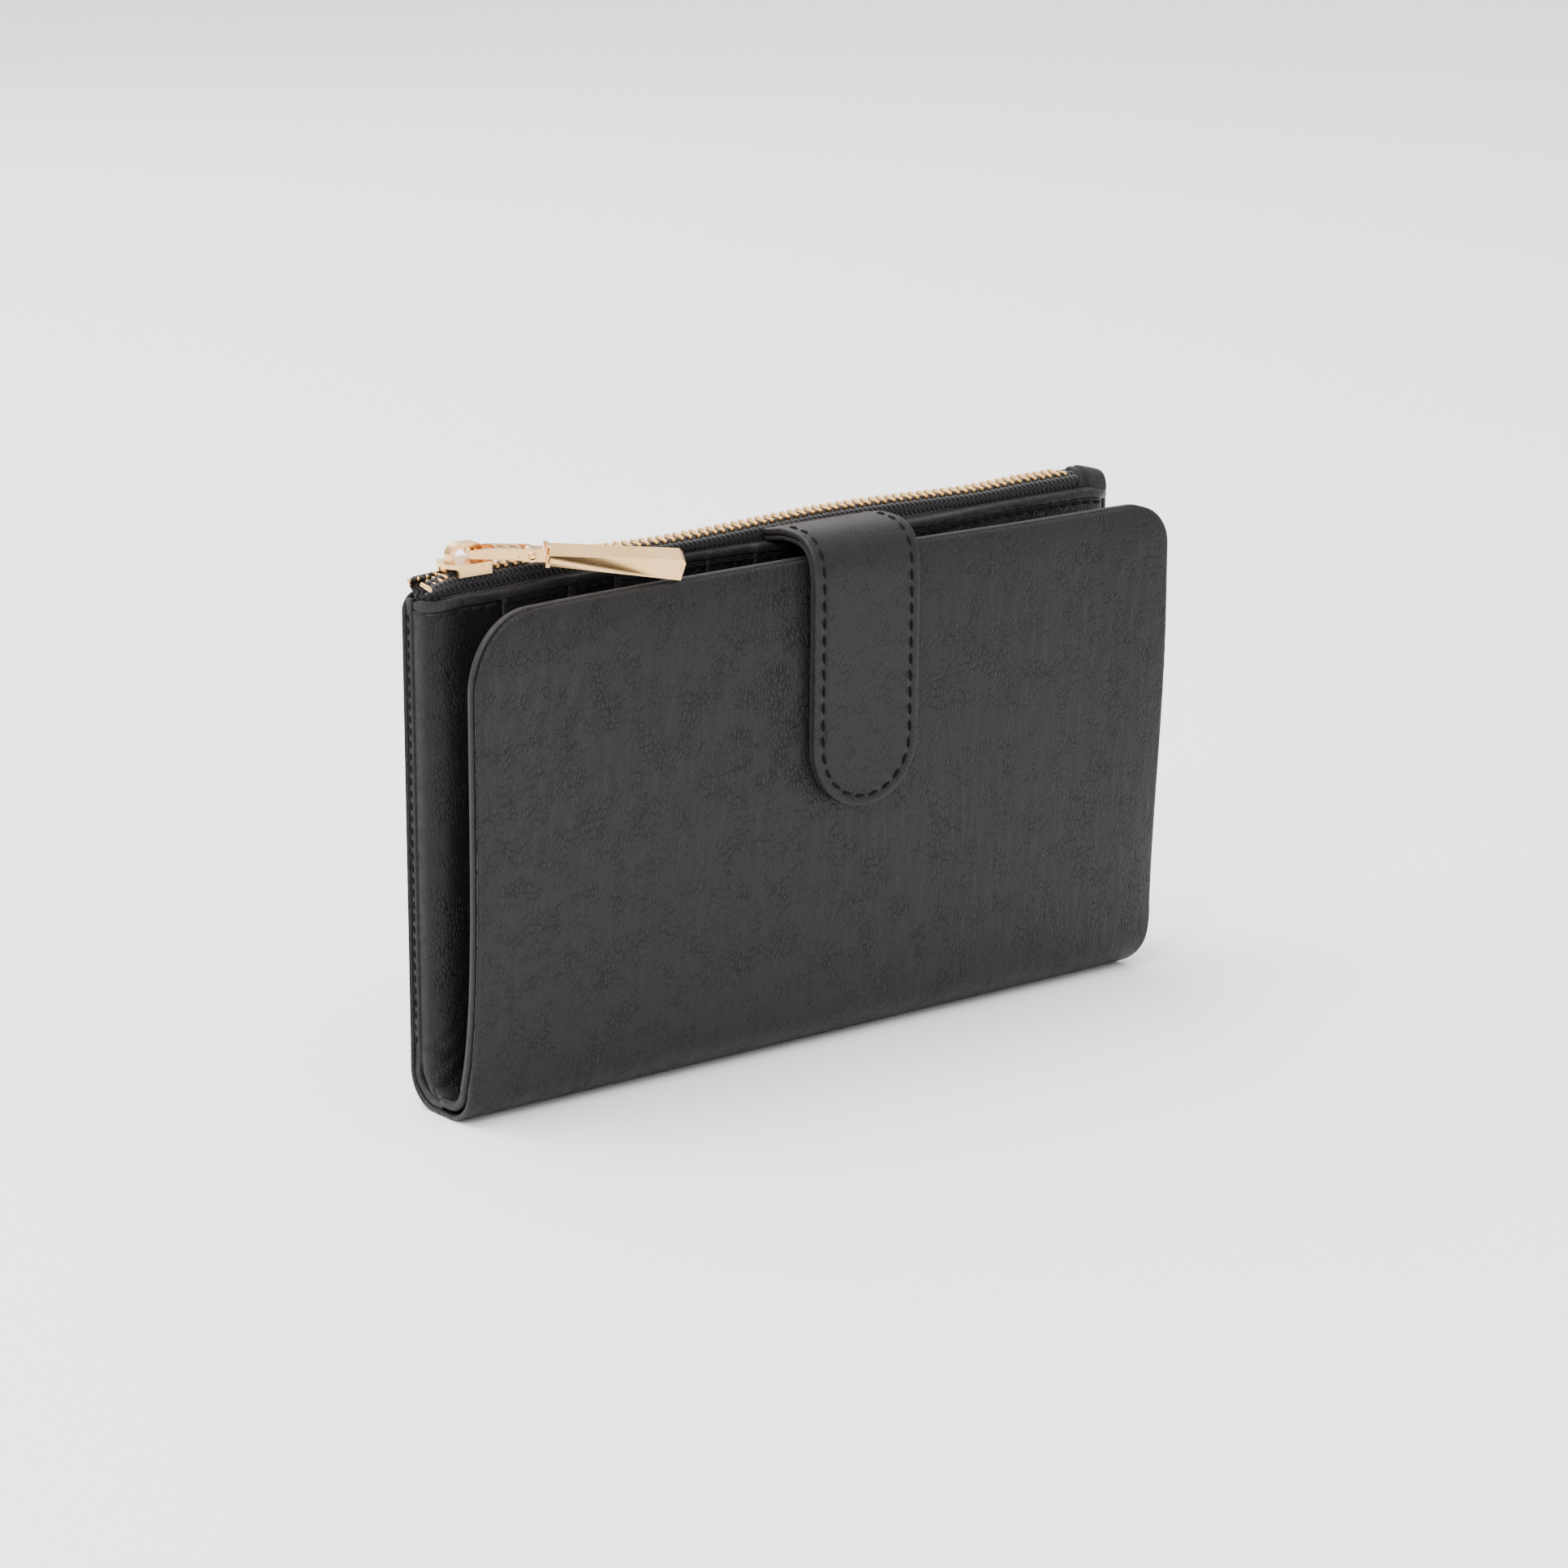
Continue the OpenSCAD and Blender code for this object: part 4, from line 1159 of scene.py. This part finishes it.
def tabPiece(name, near, far, inset, material, node, groove):
    # a strip with a half-round end between two distances from the inner face, thinned at its edge,
    # with a shallow groove under the row of stitches
    half = tabHalf - inset
    straight = np.linspace(0, tabRun - tabHalf, 110)
    angles = np.linspace(0, quarterTurn, 34)[1:]
    v = np.concatenate([straight, tabRun - tabHalf + half * np.sin(angles)])
    halfAt = np.concatenate([np.full(len(straight), half), half * np.cos(angles)])
    across = spaced(-half, half, 0.6 * mm, rim=1.2 * mm) / half
    x = halfAt[:, None] * across[None, :]
    v = np.repeat(v[:, None], x.shape[1], axis=1)
    past = np.maximum(v - (tabRun - tabHalf), 0)
    edge = np.maximum(half - np.hypot(x, past), 0)
    thick = far - near
    sink = roundDrop(edge, min(tabShape["round"], 0.45 * thick))
    pressed = groove * hump(edge, tabShape["row"] - inset, 0.55 * mm)
    outer = tabSurface(tabMiddle + x, v, far - sink - pressed)
    inner = tabSurface(tabMiddle + x, v, near + sink)
    piece = layerPiece(name, outer, inner, edge, material)
    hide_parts(node)
    return piece


tabStrap = tabPiece("tabStrap", tabLayers["lining"], tabLayers["total"], 0, tabLeather,
                    "tab_strap", tabShape["groove"])
tabLining = tabPiece("tabLining", 0, tabLayers["lining"] - 0.05 * mm, 0.25 * mm, liningLeather,
                     "tab_lining", 0.0)
for piece in (tabStrap, tabLining):
    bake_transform(piece)


def tabStitchPath():
    # down one side, round the end, up the other, a row's distance inside the edge
    half = tabHalf - tabShape["row"]
    down = np.linspace(6 * mm, tabRun - tabHalf, 160)
    a = np.linspace(0, math.pi, 90)[1:-1]
    x = np.concatenate([np.full(160, -half), -half * np.cos(a), np.full(160, half)])
    v = np.concatenate([down, tabRun - tabHalf + half * np.sin(a), down[::-1]])
    surface = tabSurface(tabMiddle + x, v, tabLayers["total"] - tabShape["groove"] * 0.6)
    above = tabSurface(tabMiddle + x, v, tabLayers["total"] + 1 * mm)
    return surface, above - surface


path, outward = tabStitchPath()
stitchRow("tabStitches", path, outward, "tab", pitch=3.6 * mm)
print("tab made")

for node in ("flap_magnet", "tab_magnet"):
    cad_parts[node].material_slots[0].material = magnetSteel


# stage, lights and camera

stageLook = {"floor": (0.945, 0.94, 0.945), "patch": (0.955, 0.95, 0.955), "sides": 96,
             "rings": [0.02, 0.3, 1.0, 3.0, 14.0]}


def stagePiece():
    # a wide round floor at z = 0
    r, sides = np.array(stageLook["rings"])[:, None], stageLook["sides"]
    t = np.linspace(0, tau, sides, endpoint=False)
    points = np.stack([r * np.cos(t), r * np.sin(t), 0 * r * t], axis=-1)
    faces = [f[::-1] for f in gridQuads(len(r), sides, wrap=True)] + [list(range(sides))]
    mesh = bpy.data.meshes.new("studioFloor")
    mesh.from_pydata(points.reshape(-1, 3).tolist(), [], faces)
    material, tree, shader, place = newMaterial("studioPaper", roughness=0.9)
    paper = noiseNode(tree, place.outputs["Object"], 3.0, 2.0)
    tree.links.new(mixedColour(tree, paper, stageLook["floor"], stageLook["patch"]),
                   shader.inputs["Base Color"])
    mesh.materials.append(material)
    floor = bpy.data.objects.new("studioFloor", mesh)
    bpy.context.collection.objects.link(floor)


stagePiece()

lights = {
    "skyPanel": {"at": (-0.5, 0.3, 1.5), "size": 1.1, "power": 34.0},
    "leftPanel": {"at": (-1.15, -0.6, 1.05), "size": 0.45, "power": 13.0},
    "rightPanel": {"at": (0.9, -1.1, 0.5), "size": 0.5, "power": 1.5},
    "backPanel": {"at": (0.3, 1.3, 0.9), "size": 1.0, "power": 9.0},
}
middle = Vector((0, 0, flapTop / 2))
for name, look in lights.items():
    lamp = bpy.data.lights.new(name, "AREA")
    lamp.shape = "SQUARE"
    lamp.size = look["size"]
    lamp.energy = look["power"]
    holder = bpy.data.objects.new(name, lamp)
    holder.location = look["at"]
    holder.rotation_euler = (middle - Vector(look["at"])).to_track_quat("-Z", "Y").to_euler()
    bpy.context.collection.objects.link(holder)

sky = {"horizon": (0.45, 0.45, 0.46), "overhead": (1.68, 1.68, 1.70), "strength": 1.36}


def skyWorld():
    # the light of a studio tent: dim at the horizon, bright overhead, by the height of each direction
    world = bpy.data.worlds.new("studioAir")
    world.use_nodes = True
    tree = world.node_tree
    place = tree.nodes.new("ShaderNodeTexCoord")
    split = tree.nodes.new("ShaderNodeSeparateXYZ")
    tree.links.new(place.outputs["Generated"], split.inputs[0])
    height = mathNode(tree, "POWER", mathNode(tree, "MAXIMUM", split.outputs["Z"], 0.0), 0.8)
    colour = mixedColour(tree, height, sky["horizon"], sky["overhead"])
    tree.links.new(colour, tree.nodes["Background"].inputs["Color"])
    tree.nodes["Background"].inputs["Strength"].default_value = sky["strength"]
    return world


bpy.context.scene.world = skyWorld()

shot = {"azimuth": -38.02, "elevation": 15.09, "distance": 1.0563, "aim": (-0.00331, 0.0, 0.05552),
        "lens": 114.3}
azimuth, elevation = math.radians(shot["azimuth"]), math.radians(shot["elevation"])
away = Vector((math.sin(azimuth) * math.cos(elevation), -math.cos(azimuth) * math.cos(elevation),
               math.sin(elevation)))
camera = bpy.data.objects.new("camera", bpy.data.cameras.new("camera"))
camera.data.sensor_width = 36.0
camera.data.lens = shot["lens"]
camera.location = Vector(shot["aim"]) + away * shot["distance"]
camera.rotation_euler = (-away).to_track_quat("-Z", "Y").to_euler()
bpy.context.collection.objects.link(camera)
bpy.context.scene.camera = camera
print("stage, lights and camera made")
